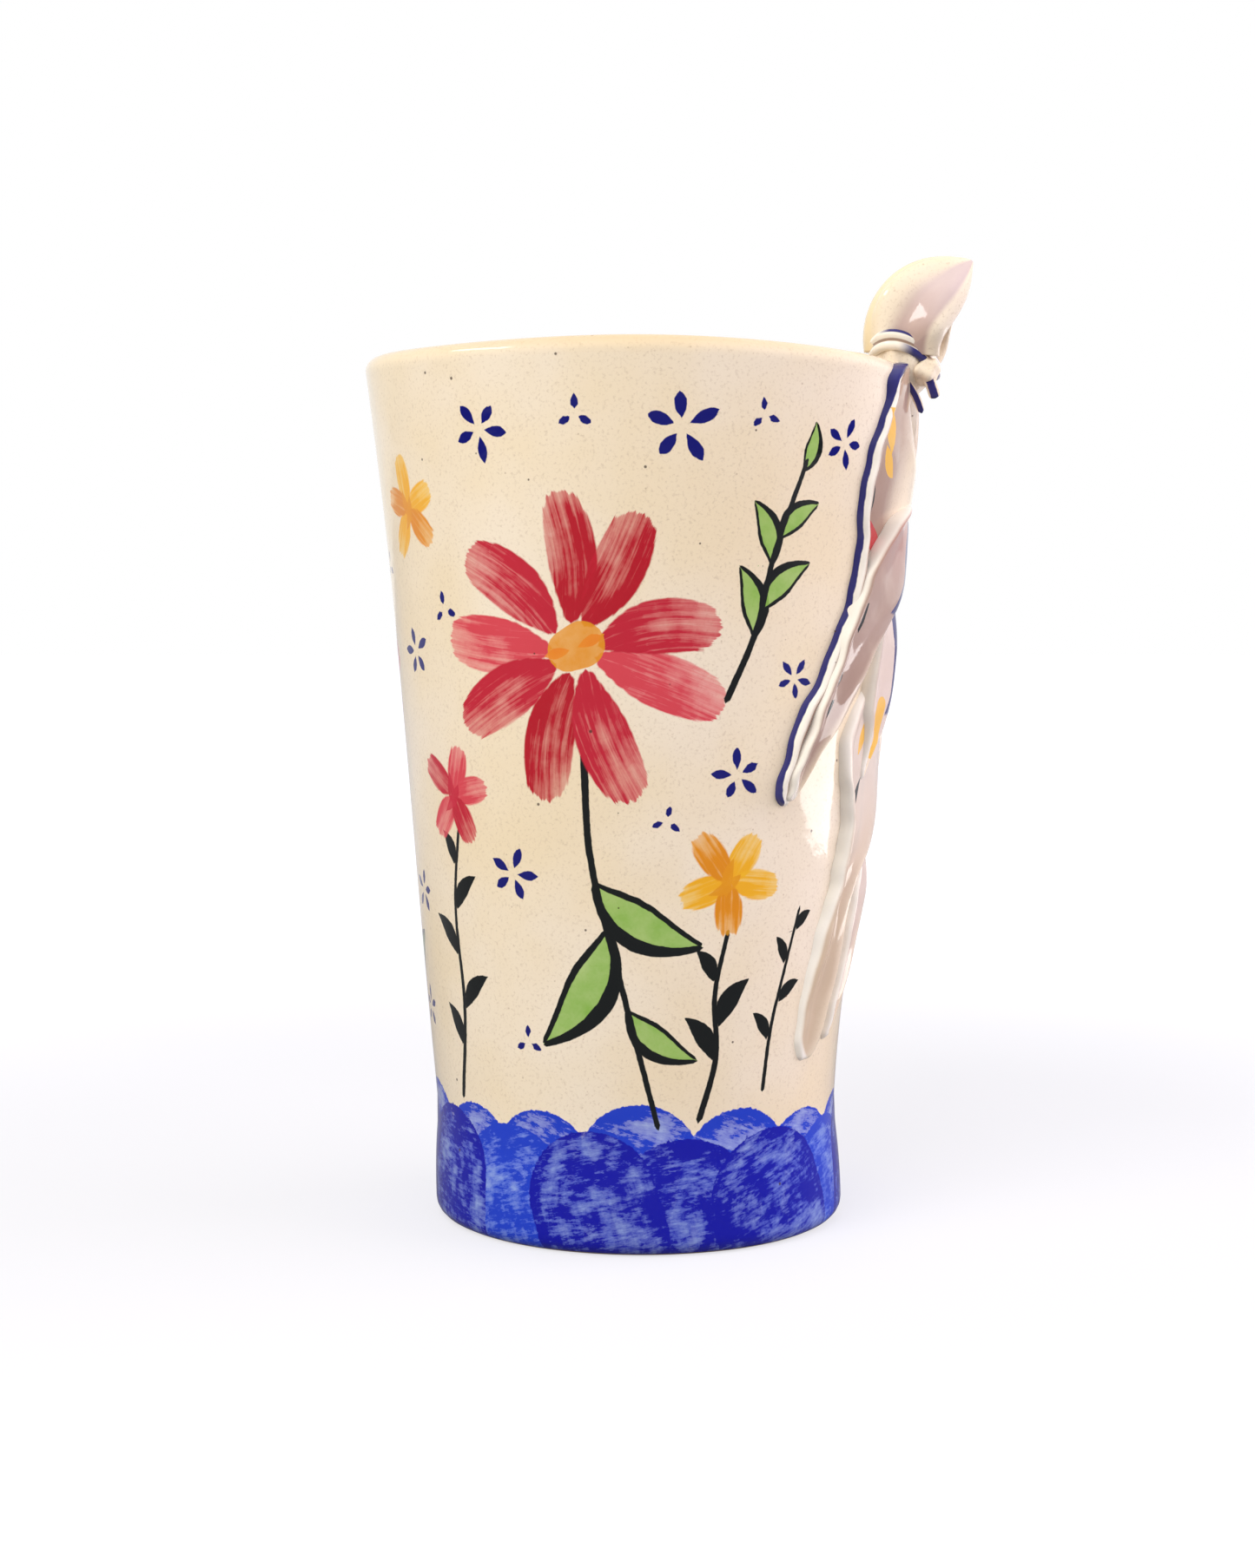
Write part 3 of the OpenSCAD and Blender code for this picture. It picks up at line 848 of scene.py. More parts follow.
def sprinkled(flowers, dots, rng):
    """Little blue flowers and dots, each as (direction, height, size, turn)."""
    strokes = []
    for direction, z, size, turn in flowers:
        strokes += blue_flower((direction, z), size, turn, rng)
    for direction, z, size, turn in dots:
        strokes += three_dots((direction, z), size, turn)
    return strokes


def meadow_front(rng):
    strokes = leafy_stem((-8, 50), curve((-3.4, 30), (-2.6, 14), (1.5, -4), (7.5, -29)), 0.62, [
        (0.42, 1, 19, 3.4, 48), (0.56, -1, 21, 3.7, 44), (0.76, 1, 13, 2.4, 40),
    ], LEAF)
    strokes += large_flower((-14.5, 97), 21.5, 9, 96, [RED, ROSE, PINK, ROSE], rng)
    strokes += leafy_stem((-50, 50), curve((-4, -27), (-1.5, -12), (-2, 4), (0.5, 17)), 0.5, [
        (0.18, 1, 8, 1.4, 40), (0.32, -1, 9, 1.5, 42), (0.5, 1, 9, 1.5, 40),
        (0.66, -1, 8.5, 1.4, 40), (0.84, 1, 6.5, 1.2, 38),
    ])
    strokes += small_blossom((-50, 73), 7.2, [PINK, ROSE], 80, rng)
    strokes += leafy_stem((17, 38), curve((-1, -16), (1.5, -6), (1.0, 4), (3, 14)), 0.55, [
        (0.3, 1, 9, 1.6, 42), (0.48, -1, 9.5, 1.7, 40), (0.72, 1, 6.5, 1.3, 38),
    ])
    strokes += small_blossom((21.5, 60), 7.6, [YELLOW, AMBER], 60, rng)
    strokes += leafy_stem((28.5, 106), curve((-6.5, -17), (-2, -6), (0.5, 6), (5.5, 20)), 0.6, [
        (0.3, 1, 11, 2.1, 34), (0.42, -1, 11, 2.1, 38), (0.62, 1, 10, 1.9, 34),
        (0.72, -1, 9, 1.8, 36), (0.97, 1, 7.5, 1.5, 6),
    ], LEAF)
    strokes += small_blossom((-59, 119), 7.0, [YELLOW, AMBER], 100, rng)
    strokes += leafy_stem((37, 40), curve((-2, -14), (-1, -4), (1.5, 6), (4, 15)), 0.4, [
        (0.25, 1, 6, 1.1, 40), (0.45, -1, 6, 1.1, 40), (0.65, 1, 5.5, 1.0, 38), (0.85, -1, 5, 1.0, 34),
    ])
    return strokes + sprinkled([
        (8, 131, 5.2, 90), (-34, 131, 4.4, 60), (-62, 96, 3.8, 100), (45.5, 129, 3.6, 70),
        (-32, 61, 4.0, 75), (-72, 56, 3.4, 80), (22.5, 77, 3.8, 100), (36, 92, 3.0, 60),
    ], [
        (-13, 133, 2.3, 90), (-48, 103, 2.2, 100), (-30, 34, 2.0, 90), (6, 70, 1.9, 80), (25, 133, 2.0, 100),
    ], rng)


def meadow_left_and_back(rng):
    strokes = leafy_stem((-92, 62), curve((4, -40), (1, -20), (-2, 0), (1, 24)), 0.5, [
        (0.25, -1, 14, 2.5, 44), (0.4, 1, 15, 2.7, 44), (0.6, -1, 12, 2.2, 40), (0.76, 1, 9, 1.7, 38),
    ], OLIVE)
    strokes += small_blossom((-91, 92), 8.4, [PINK, RED], 90, rng)
    strokes += leafy_stem((-167, 48), curve((3, 28), (2, 12), (-2, -6), (-6, -27)), 0.62, [
        (0.45, -1, 18, 3.2, 46), (0.6, 1, 20, 3.4, 44), (0.8, -1, 12, 2.2, 40),
    ], LEAF)
    strokes += large_flower((-164, 92), 21.5, 9, 80, [AMBER, YELLOW, ORANGE, YELLOW], rng)
    strokes += leafy_stem((-125, 56), curve((2, -33), (0, -14), (-1, 8), (-5, 30)), 0.46, [
        (0.2, 1, 8, 1.3, 40), (0.32, -1, 8.5, 1.4, 42), (0.46, 1, 8.5, 1.4, 40),
        (0.6, -1, 8, 1.3, 40), (0.74, 1, 7, 1.2, 38), (0.88, -1, 6, 1.1, 34),
    ])
    strokes += small_blossom((-131, 92), 7.0, [PINK, ROSE], 70, rng)
    strokes += leafy_stem((152, 46), curve((3, -24), (0, -10), (-1, 6), (2, 20)), 0.5, [
        (0.3, 1, 9, 1.5, 42), (0.48, -1, 9.5, 1.6, 40), (0.72, 1, 6.5, 1.2, 38),
    ])
    strokes += small_blossom((154.5, 73), 7.6, [YELLOW, ORANGE], 60, rng)
    strokes += leafy_stem((158, 112), curve((6, -16), (1, -5), (-2, 6), (-4, 17)), 0.5, [
        (0.3, 1, 10, 1.8, 36), (0.42, -1, 10.5, 1.9, 36), (0.64, 1, 9, 1.6, 34), (0.97, -1, 7, 1.3, 6),
    ], OLIVE)
    return strokes + sprinkled([
        (-92, 124, 4.6, 90), (-116, 113, 3.6, 60), (-140, 128, 4.8, 80), (172, 133, 4.0, 70),
        (-108, 46, 3.6, 90), (-143, 44, 3.6, 70), (168, 56, 3.6, 100), (138, 96, 3.6, 80), (-76, 36, 3.2, 90),
    ], [
        (-78, 110, 2.0, 90), (-112, 84, 2.0, 40), (-150, 58, 1.9, 90), (178, 116, 2.0, 20),
        (146, 122, 2.0, 70), (-106, 134, 1.9, 60), (176, 62, 1.9, 90),
    ], rng)


SCALLOPS = 14
SCALLOP_ROWS = (  # share of a step that the row is turned by, radius from and to, top from and to
    (0.0, 8.6, 10.8, 21.5, 25.0),
    (0.5, 9.8, 12.4, 17.5, 22.5),
)


def scallops(rng):
    """Overlapping blue scallops round the foot: a higher row behind, a lower row in front."""
    strokes = []
    step = 360 / SCALLOPS
    for shift, least_r, most_r, lowest, highest in SCALLOP_ROWS:
        for k in every_other(SCALLOPS):
            radius = rng.uniform(least_r, most_r)
            top = rng.uniform(lowest, highest)
            direction = (k + shift) * step + rng.uniform(-2.2, 2.2)
            path = bow_path((rng.uniform(-3, 3), 2), (0, top - radius), 0, 5)
            colour = AZURE if shift == 0 or k % 5 == 2 else COBALT
            strokes.append(Stroke((direction, 0), path, [radius, radius, radius], colour, WASH))
    return strokes


def wall_painting(rng):
    """All strokes on the wall, from the first laid to the last."""
    flowers = meadow_front(rng) + meadow_left_and_back(rng)
    return scallops(rng) + flowers


COATS = 12
OUTSIDE = -9.0
MARGIN = 1.5
SEEN_FROM = -0.25
SHARE_MOST = 0.98
U_GAP = 160.0
PAINTED_DEEP = 1.6


def positions(mesh):
    co = np.empty(len(mesh.vertices) * 3, np.float32)
    mesh.vertices.foreach_get("co", co)
    return co.reshape(-1, 3) / MM


def lay_strokes(piece, strokes, rng, least_r=None):
    """Writes the strokes to the piece as coats: brush_k is [along, across, half width], and ink_k the colour,
    with the kind of stroke and the share of its length as alpha. Strokes that touch get separate coats."""
    mesh = piece.data
    count = len(mesh.vertices)
    co = positions(mesh)
    direction = np.degrees(np.arctan2(co[:, 0], -co[:, 1]))
    z = co[:, 2]
    scale = mm_per_deg(z)
    open_side = np.ones(count, bool)
    if least_r is not None:
        open_side = np.hypot(co[:, 0], co[:, 1]) > outer_r(z) - least_r
    brushes = np.zeros((COATS, count, 3), np.float32)
    brushes[:, :, 2] = OUTSIDE
    inks = np.zeros((COATS, count, 4), np.float32)
    used = np.zeros((COATS, count), bool)
    shown = np.full(count, -1)
    for number, stroke in enumerate(strokes):
        reach = np.abs(stroke.path).max() + stroke.width.max() + 2 * MARGIN
        x = around(direction - stroke.at[0]) * scale
        y = z - stroke.at[1]
        near = np.flatnonzero(open_side & (np.abs(x) < reach) & (np.abs(y) < reach))
        u, v, inside = stroke.touch(x[near], y[near])
        keep = inside > -MARGIN
        near, u, v, inside = near[keep], u[keep], v[keep], inside[keep]
        if not len(near):
            continue
        seen = near[inside > SEEN_FROM]
        lowest = shown[seen].max(initial=-1) + 1
        coat = next((k for k in range(lowest, COATS) if not used[k, near].any()), None)
        if coat is None:
            raise ValueError(f"stroke {number} at {stroke.at} on {piece.name} finds no free coat")
        used[coat, near] = True
        shown[seen] = coat
        brushes[coat, near] = np.stack([u + U_GAP * rng.integers(1, 9), v, inside + np.abs(v)], 1)
        first, last = stroke.width[0], stroke.along[-1] + stroke.width[-1]
        inks[coat, near, :3] = stroke.colour
        inks[coat, near, 3] = 2 * stroke.kind + np.clip((u + first) / (last + first), 0, SHARE_MOST)
    coats = int(np.flatnonzero(used.any(1)).max(initial=-1)) + 1
    for k in range(coats):
        brush = mesh.attributes.new(f"brush_{k}", "FLOAT_VECTOR", "POINT")
        brush.data.foreach_set("vector", brushes[k].ravel())
        colour = mesh.attributes.new(f"ink_{k}", "FLOAT_COLOR", "POINT")
        colour.data.foreach_set("color", inks[k].ravel())
    return coats


# Materials

CREAM = ink(244, 229, 209)
CREAM_WARM = ink(240, 221, 190)
# A painted highlight: white laid on the folds' rolled edges and over most of the tying strip, where light
# catches them
HIGHLIGHT_WHITE = ink(252, 246, 236)
LIP_WARM = ink(214, 188, 146)
BUFF = ink(196, 172, 140)
IRON = ink(66, 46, 36)
RUST = ink(176, 146, 116)
HEM_BLUE = ink(2, 4, 106)
WATERY_BLUE = ink(184, 208, 240)
GLAZE_ROUGH = 0.07
GLAZE_IOR = 1.5
# The glaze. A noise is [scale, detail, roughness], and shows says between which of its values it shows
WARM_CLOUDS = (28.0, 3.0, 0.55)
WARM_SHOWS = (0.35, 0.68)
GRAINS = (2100.0, 3.0, 0.6)
GRAINS_SHOW = (0.5, 0.78, 0.0, 0.34)
RUST_SPECKS = (2.4, 0.19, 0.5)  # size of a cell, radius, chance
RUST_SPECKS_SHOW = 0.45
IRON_SPECKS = (4.4, 0.25, 0.42)
IRON_SPECKS_SHOW = 0.85
SPECK_SIZE = (0.4, 0.8)
SPECK_EDGE = (0.6, 1.15)
SKIN_WAVES = 130.0
SKIN_PITS = 900.0
SKIN_PITS_SHARE = 0.12
BUMP = 0.35
BUMP_H = 0.35
LIP_FROM = LIP_Z - 1
LIP_SHOWS = 0.75
BARE_BELOW = (0.25, 0.55)
BARE_ROUGHER = 0.6


class Value:
    """A shader value. Sums and products with other values and with numbers become nodes."""
    def __init__(self, n, socket):
        self.n, self.socket = n, socket

    def __add__(self, other):
        return self.n.math("ADD", self, other)

    def __sub__(self, other):
        return self.n.math("SUBTRACT", self, other)

    def __rsub__(self, other):
        return self.n.math("SUBTRACT", other, self)

    def __mul__(self, other):
        return self.n.math("MULTIPLY", self, other)


class Nodes:
    """Short words for adding shader nodes to a tree, which starts empty."""
    def __init__(self, tree):
        self.tree = tree
        tree.nodes.clear()

    def feed(self, socket, value):
        if isinstance(value, Value):
            self.tree.links.new(value.socket, socket)
        elif socket.type == "RGBA":
            socket.default_value = (*[float(c) for c in value[:3]], 1.0)
        else:
            socket.default_value = value

    def add(self, kind, inputs=None, **settings):
        node = self.tree.nodes.new(kind)
        for key, setting in settings.items():
            setattr(node, key, setting)
        for key, value in (inputs or {}).items():
            self.feed(node.inputs[key], value)
        return node

    def value(self, kind, inputs=None, out=0, **settings):
        return Value(self, self.add(kind, inputs, **settings).outputs[out])

    def values(self, kind, inputs=None, **settings):
        return [Value(self, socket) for socket in self.add(kind, inputs, **settings).outputs]

    def attribute(self, name):
        return self.value("ShaderNodeAttribute", out="Vector", attribute_name=name)

    def math(self, operation, a, b=0.0, c=0.0, clamp=False):
        return self.value("ShaderNodeMath", {0: a, 1: b, 2: c}, operation=operation, use_clamp=clamp)

    def ramp(self, value, low, high, to_low=0.0, to_high=1.0):
        inputs = {"Value": value, "From Min": low, "From Max": high, "To Min": to_low, "To Max": to_high}
        return self.value("ShaderNodeMapRange", inputs, interpolation_type="SMOOTHSTEP")

    def noise(self, vector, scale, detail=2.0, rough=0.5):
        inputs = {"Vector": vector, "Scale": scale, "Detail": detail, "Roughness": rough}
        return self.value("ShaderNodeTexNoise", inputs)

    def blend(self, factor, a, b, mode="MIX"):
        return self.value("ShaderNodeMix", {0: factor, 6: a, 7: b}, 2, data_type="RGBA", blend_type=mode)

    def pick(self, factor, a, b):
        return self.value("ShaderNodeMix", {0: factor, 2: a, 3: b}, data_type="FLOAT")

    def join(self, x, y, z):
        return self.value("ShaderNodeCombineXYZ", {0: x, 1: y, 2: z})


def grown(value, base, more):
    """The base, and more with the value."""
    return value * more + base


def swing(noise, size):
    """A noise about 0."""
    return (noise - 0.5) * size


# Noise in a stroke: stretched along, stretched across, layer, scale, detail, roughness
STREAKS = (0.06, 1.25, 0.0, 1.0, 4.0, 0.62)
GRAIN = (0.6, 1.0, 3.0, 1.3, 3.0, 0.6)
CLOUDS = (1.0, 1.0, 12.0, 0.16, 4.0, 0.6)
SPONGE = (1.0, 0.22, 20.0, 1.25, 5.0, 0.75)
SPONGE_SLANT = 0.1
ARCS = (0.1, 0.5, 7.0, 1.0, 4.0, 0.65)

# Where two values are given, the first holds for every stroke and the second is what is added in full:
# at the dry end of a petal, or in a petal or a wash
TRACE = 1e-5
DRY_FROM = 0.66
FRAY = (0.4, 2.3)
FRAY_FROM = (0.5, 0.07)
FRAY_MOST = 0.6
WOBBLE = (0.25, 0.5)
EDGE_FROM = -0.07
EDGE_TO = (0.08, 0.22)
POOLED_TO = (0.75, 1.8)
PETAL_BODY = (1.12, -0.36)
PETAL_STREAKS = 1.2
PETAL_CLOUDS = 0.8
PETAL_LEAN = 0.04
PETAL_LEAST = 0.5
WASH_BODY = 0.86
WASH_CLOUDS = 2.9
WASH_SPONGE = 2.6
WASH_ARCS = 1.2
WASH_POOL = 0.35
TINT_BODY = 0.88
TINT_CLOUDS = 0.5
DEEP = (0.7, 1.1, 0.0, 0.4)  # thickness from, thickness to, deeper from, deeper to
PALE = 0.62


def stroke_noise(n, along, across, look):
    stretch_along, stretch_across, layer, *rest = look
    return n.noise(n.join(along * stretch_along, across * stretch_across, layer), *rest)


def brush_group():
    """One stroke of paint over what lies below it: streaks, pooled edges, a dry end and thin places."""
    tree = bpy.data.node_groups.new("brush_stroke", "ShaderNodeTree")
    for name, kind in (("Below", "Color"), ("Brush", "Vector"), ("Ink", "Color"), ("Share", "Float")):
        tree.interface.new_socket(name, in_out="INPUT", socket_type="NodeSocket" + kind)
    tree.interface.new_socket("Colour", in_out="OUTPUT", socket_type="NodeSocketColor")
    n = Nodes(tree)
    below, brush, paint, packed = n.values("NodeGroupInput")[:4]
    # A trace of the colour below makes the renderer work the coats out one by one, within its memory
    trace = n.value("ShaderNodeSeparateColor", {0: below}) * TRACE
    along, across, half = [part + trace for part in n.values("ShaderNodeSeparateXYZ", {0: brush})]
    inside = half - n.math("ABSOLUTE", across)
    kind = n.math("FLOOR", packed * 0.5 + trace)
    share = packed - kind * 2.0
    is_petal, is_wash, is_tint = [n.math("COMPARE", kind, float(k), 0.1) for k in (PETAL, WASH, TINT)]
    streaks = stroke_noise(n, along, across, STREAKS)
    clouds = stroke_noise(n, along, across, CLOUDS)
    sponge = stroke_noise(n, across * SPONGE_SLANT + along, across, SPONGE)
    # The edge
    dry = n.ramp(share, DRY_FROM, 1.0)
    fray = (streaks - grown(dry, *FRAY_FROM)) * grown(dry, *FRAY)
    wobble = (stroke_noise(n, along, across, GRAIN) - 0.5) * grown(is_wash, *WOBBLE)
    edge = inside + (is_petal * n.math("MINIMUM", fray, FRAY_MOST) + wobble)
    cover = n.ramp(edge, EDGE_FROM, grown(is_petal, *EDGE_TO))
    pool = n.ramp(edge, 0.0, grown(is_wash, *POOLED_TO), 1.0, 0.0)
    # How thick the paint lies, by kind of stroke
    petal = grown(share, *PETAL_BODY) + swing(streaks, PETAL_STREAKS) + swing(clouds, PETAL_CLOUDS)
    petal = n.math("MAXIMUM", across * PETAL_LEAN + petal, PETAL_LEAST)
    wash = swing(clouds, WASH_CLOUDS) + WASH_BODY + swing(sponge, WASH_SPONGE)
    wash = wash + swing(stroke_noise(n, along, inside, ARCS), WASH_ARCS)
    wash = n.math("ADD", wash, pool * WASH_POOL, clamp=True)
    tint = swing(clouds, TINT_CLOUDS) + TINT_BODY
    thick = n.pick(is_tint, n.pick(is_wash, n.pick(is_petal, 1.0, petal), wash), tint)
    # Thick paint is deeper in colour, and a thin wash is a paler blue
    deep = n.blend(n.ramp(thick, *DEEP), paint, n.blend(1.0, paint, paint, "MULTIPLY"))
    deep = n.blend(is_wash * (1.0 - thick), deep, n.blend(PALE, paint, WATERY_BLUE))
    thick = n.math("MAXIMUM", thick, is_wash * WASH_BODY, clamp=True)
    n.add("NodeGroupOutput", {"Colour": n.blend(cover * thick, below, deep)})
    return tree


BRUSH = brush_group()

# Painted light and shade over the glaze: painted shade in hollows and grooves, a painted lit side or
# highlight elsewhere.
# Each gives where it starts, is full, fades and ends, in from the left edge, its colour at the top and at the
# tip, over which length, and its strength
PaintedLight = namedtuple("PaintedLight", "start full fade end top tip length strength")
# A hem is a blue edge: of which side, from and to, start and end along the piece, and more width at its top
Hem = namedtuple("Hem", "side low high start end more")
HEM_NARROWS = 16.0
HEM_WANDERS = 0.7
HEM_WANDERS_SCALE = 0.35
HEM_SOFT = 0.1
HEM_END_SOFT = 0.4
HEM_SHOWS = 0.96
# How the painted shade fades at the right edge and how uneven it is; where the painted highlight lies on the
# left rolled edge, and how strong it is
SHADE_EDGE = (1.4, 5.0)
SHADE_CLOUDS = 160.0
SHADE_UNEVEN = (0.75, 0.5)
HIGHLIGHT_BAND = (0.2, 1.0)
HIGHLIGHT_SHOWS = 0.85


def speckle(n, place, cell, radius, chance):
    """Specks of iron, one in some of the cells."""
    inputs = {"Vector": place, "Scale": 1 / (cell * MM), "Randomness": 1.0}
    distance, shade = n.values("ShaderNodeTexVoronoi", inputs)[:2]
    lot = n.values("ShaderNodeSeparateColor", {0: shade})
    size = grown(lot[1], *SPECK_SIZE) * (radius / cell)
    dot = n.ramp(n.math("DIVIDE", distance, size), *SPECK_EDGE, 1.0, 0.0)
    return dot * n.math("LESS_THAN", lot[0], chance)


def stoneware(n, place):
    """Cream glaze, a little warmer in places, over a body with fine grains of rust."""
    colour = n.blend(n.ramp(n.noise(place, *WARM_CLOUDS), *WARM_SHOWS), CREAM, CREAM_WARM)
    colour = n.blend(n.ramp(n.noise(place, *GRAINS), *GRAINS_SHOW), colour, RUST)
    return n.blend(speckle(n, place, *RUST_SPECKS) * RUST_SPECKS_SHOW, colour, RUST)


# Lays one painted band of light and shade over the glaze; with rims, also a painted white highlight along the
# left rolled edge
def paint_light_and_shade(n, colour, place, line, pool, rims):
    mask = n.ramp(line[0], pool.start, pool.full) * n.ramp(line[0], pool.fade, pool.end, 1.0, 0.0)
    mask = mask * n.ramp(line[1], *SHADE_EDGE)
    mask = n.math("MULTIPLY", mask, grown(n.noise(place, SHADE_CLOUDS), *SHADE_UNEVEN), clamp=True)
    shade = n.blend(n.ramp(line[2], 0.0, pool.length), pool.top, pool.tip)
    colour = n.blend(mask * pool.strength, colour, shade)
    if rims:
        painted_highlight = n.ramp(line[0], *HIGHLIGHT_BAND) * n.ramp(line[0], pool.start, pool.full, 1.0, 0.0)
        colour = n.blend(painted_highlight * HIGHLIGHT_SHOWS, colour, HIGHLIGHT_WHITE)
    return colour


def painted(n, colour, coat):
    paint, _, _, share = n.values("ShaderNodeAttribute", attribute_name=f"ink_{coat}")
    inputs = {"Below": colour, "Brush": n.attribute(f"brush_{coat}"), "Ink": paint, "Share": share}
    return n.value("ShaderNodeGroup", inputs, node_tree=BRUSH)


def band_mask(n, value, low, high, soft):
    return n.ramp(value, low - soft, low + soft) * n.ramp(value, high - soft, high + soft, 1.0, 0.0)


def hemmed(n, colour, line, hem):
    x = line[hem.side] + swing(n.noise(n.join(line[2], 0.0, 5.0), HEM_WANDERS_SCALE), HEM_WANDERS)
    x = x - n.ramp(line[2], 0.0, HEM_NARROWS, hem.more, 0.0)
    band = band_mask(n, x, hem.low - hem.more, hem.high, HEM_SOFT)
    band = band * band_mask(n, line[2], hem.start, hem.end, HEM_END_SOFT)
    return n.blend(band * HEM_SHOWS, colour, HEM_BLUE)


def lip_and_foot(n, colour, place):
    """A warmer lip and a bare, rough underside. Gives the colour and how bare it is."""
    z = n.values("ShaderNodeSeparateXYZ", {0: place})[2]
    colour = n.blend(n.ramp(z, LIP_FROM * MM, CUP_H * MM, 0.0, LIP_SHOWS), colour, LIP_WARM)
    bare = n.ramp(z, BARE_BELOW[0] * MM, BARE_BELOW[1] * MM, 1.0, 0.0)
    return n.blend(bare, colour, BUFF), bare


def glazed(name, coats=0, hems=(), shading_bands=(), is_cup=False, rims=False):
    """Cream glaze over speckled stoneware, with bands of painted light and shade, coats of paint and hems.
    rims paints a white highlight on rolled edges.
    """
    material = bpy.data.materials.new(name)
    material.use_nodes = True
    n = Nodes(material.node_tree)
    place = n.value("ShaderNodeTexCoord", out="Object")
    colour = stoneware(n, place)
    line = n.values("ShaderNodeSeparateXYZ", {0: n.attribute("hem")})
    for pool in shading_bands:
        colour = paint_light_and_shade(n, colour, place, line, pool, rims)
    for coat in range(coats):
        colour = painted(n, colour, coat)
    for hem in hems:
        colour = hemmed(n, colour, line, hem)
    colour = n.blend(speckle(n, place, *IRON_SPECKS) * IRON_SPECKS_SHOW, colour, IRON)
    rough = GLAZE_ROUGH
    if is_cup:
        colour, bare = lip_and_foot(n, colour, place)
        rough = grown(bare, GLAZE_ROUGH, BARE_ROUGHER)
    skin = n.noise(place, SKIN_WAVES) + n.noise(place, SKIN_PITS) * SKIN_PITS_SHARE
    bump = n.value("ShaderNodeBump", {"Height": skin, "Strength": BUMP, "Distance": BUMP_H * MM})
    inputs = {"Base Color": colour, "Roughness": rough, "IOR": GLAZE_IOR, "Normal": bump}
    n.add("ShaderNodeOutputMaterial", {0: n.value("ShaderNodeBsdfPrincipled", inputs)})
    return material


def dress(piece, material):
    piece.data.materials.append(material)
    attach(piece, "root")
    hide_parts("tumbler")


# Bits of the painting that the folds cut off
DRAPE_MARKS = {
    "lapel": [
        dab((59.5, 131), (-1.0, 4), (2.4, -3.0), 0.8, 1.9 * LEAF_WIDTH, YELLOW, TINT),
        dab((62.5, 127), (-2.0, 2.0), (2.4, -2.8), -0.6, 1.5 * LEAF_WIDTH, YELLOW, TINT),
        dab((55.4, 121), (-0.6, 3), (1.2, -2.2), 0.4, 0.9 * LEAF_WIDTH, PINE, LINE),
        dab((55.4, 109), (-0.5, 2.6), (1.0, -2.0), 0.3, 0.8 * LEAF_WIDTH, PINE, LINE),
        Stroke((58.6, 114.6), [(-1.4, 1.2), (0.8, -0.8)], [1.4, 1.8], RED, TINT),
    ],
    "tongue": [
        dab((56.3, 101.8), (-1.0, -2.6), (1.2, 2.0), 0.5, 0.95 * LEAF_WIDTH, PINE, LINE),
        dab((49.7, 92.6), (-1.0, -2.2), (1.2, 1.8), 0.5, 0.9 * LEAF_WIDTH, PINE, LINE),
        dab((45.6, 86.8), (-1.2, -1.7), (1.4, 1.6), 0.4, 0.85 * LEAF_WIDTH, PINE, LINE),
    ],
    "long_pleat": [
        dab((66, 82), (-2.0, -3.0), (1.5, 3.0), 0.5, 1.3 * LEAF_WIDTH, YELLOW, TINT),
        dab((65.5, 72), (-1.5, -3.5), (1.5, 3.0), 0.5, 0.9 * LEAF_WIDTH, PINE, LINE),
    ],
    "edge_strip": [Stroke((75.5, 83), [(-1.0, -3.6), (0.8, 3.4)], [1.9, 1.7], YELLOW, TINT)],
}
HEMS = {
    "lapel": [Hem(0, 0.35, 2.4, -2.0, 200.0, 2.2)],
    "tongue": [Hem(1, 0.2, 6.4, 3.0, 27.0, 0.0)],
    "edge_strip": [Hem(1, 0.2, 6.0, 3.0, 20.0, 0.0)],
}
# Painted shade in the hollow of each fold, darkening towards the lapel's tip and reddish at the top of the
# tongue
SHADED_HOLLOWS = {
    "lapel": PaintedLight(3.2, 4.2, 9.5, 23.0, ink(188, 158, 140), ink(142, 104, 90), 40, 0.92),
    "tongue": PaintedLight(3.6, 4.6, 200, 201, ink(176, 104, 94), ink(170, 140, 128), 26, 0.95),
    "long_pleat": PaintedLight(2.6, 3.6, 200, 201, ink(226, 208, 198), ink(206, 182, 156), 60, 0.95),
    "inner_pleat": PaintedLight(2.6, 3.6, 200, 201, ink(212, 190, 180), ink(204, 180, 164), 30, 0.9),
    "edge_strip": PaintedLight(2.6, 3.6, 200, 201, ink(222, 204, 198), ink(212, 188, 180), 30, 0.8),
    "gather": PaintedLight(2.6, 3.6, 200, 201, ink(216, 196, 182), ink(208, 184, 166), 50, 0.7),
}
FOLDS = {
    "lapel": LAPEL, "edge_strip": EDGE_STRIP, "long_pleat": LONG_PLEAT,
    "inner_pleat": INNER_PLEAT, "tongue": TONGUE,
}


def make_drape(rng):
    """The folds on the seen side and their plainer likes on the hidden side."""
    for number, (name, stations) in enumerate(FOLDS.items()):
        for side, lines, phase in (("front", stations, 0), ("hidden", behind(stations), 2.1)):
            piece = make_fold(f"{name}_{side}", lines, 1.3 * number + phase)
            marks = DRAPE_MARKS.get(name, []) if side == "front" else []
            coats = lay_strokes(piece, marks, rng)
            # Folds and gathers get painted shade in their hollows and, with rims, a painted white highlight
            # on their rolled edges
            dress(piece, glazed(f"glaze_{name}_{side}", coats, HEMS.get(name, ()), [SHADED_HOLLOWS[name]], rims=True))
    gathered = glazed("glaze_gathers", shading_bands=[SHADED_HOLLOWS["gather"]], rims=True)
    for number, stations in enumerate(GATHERS):
        dress(make_fold(f"gather_{number}", stations, 0.7 * number), gathered)


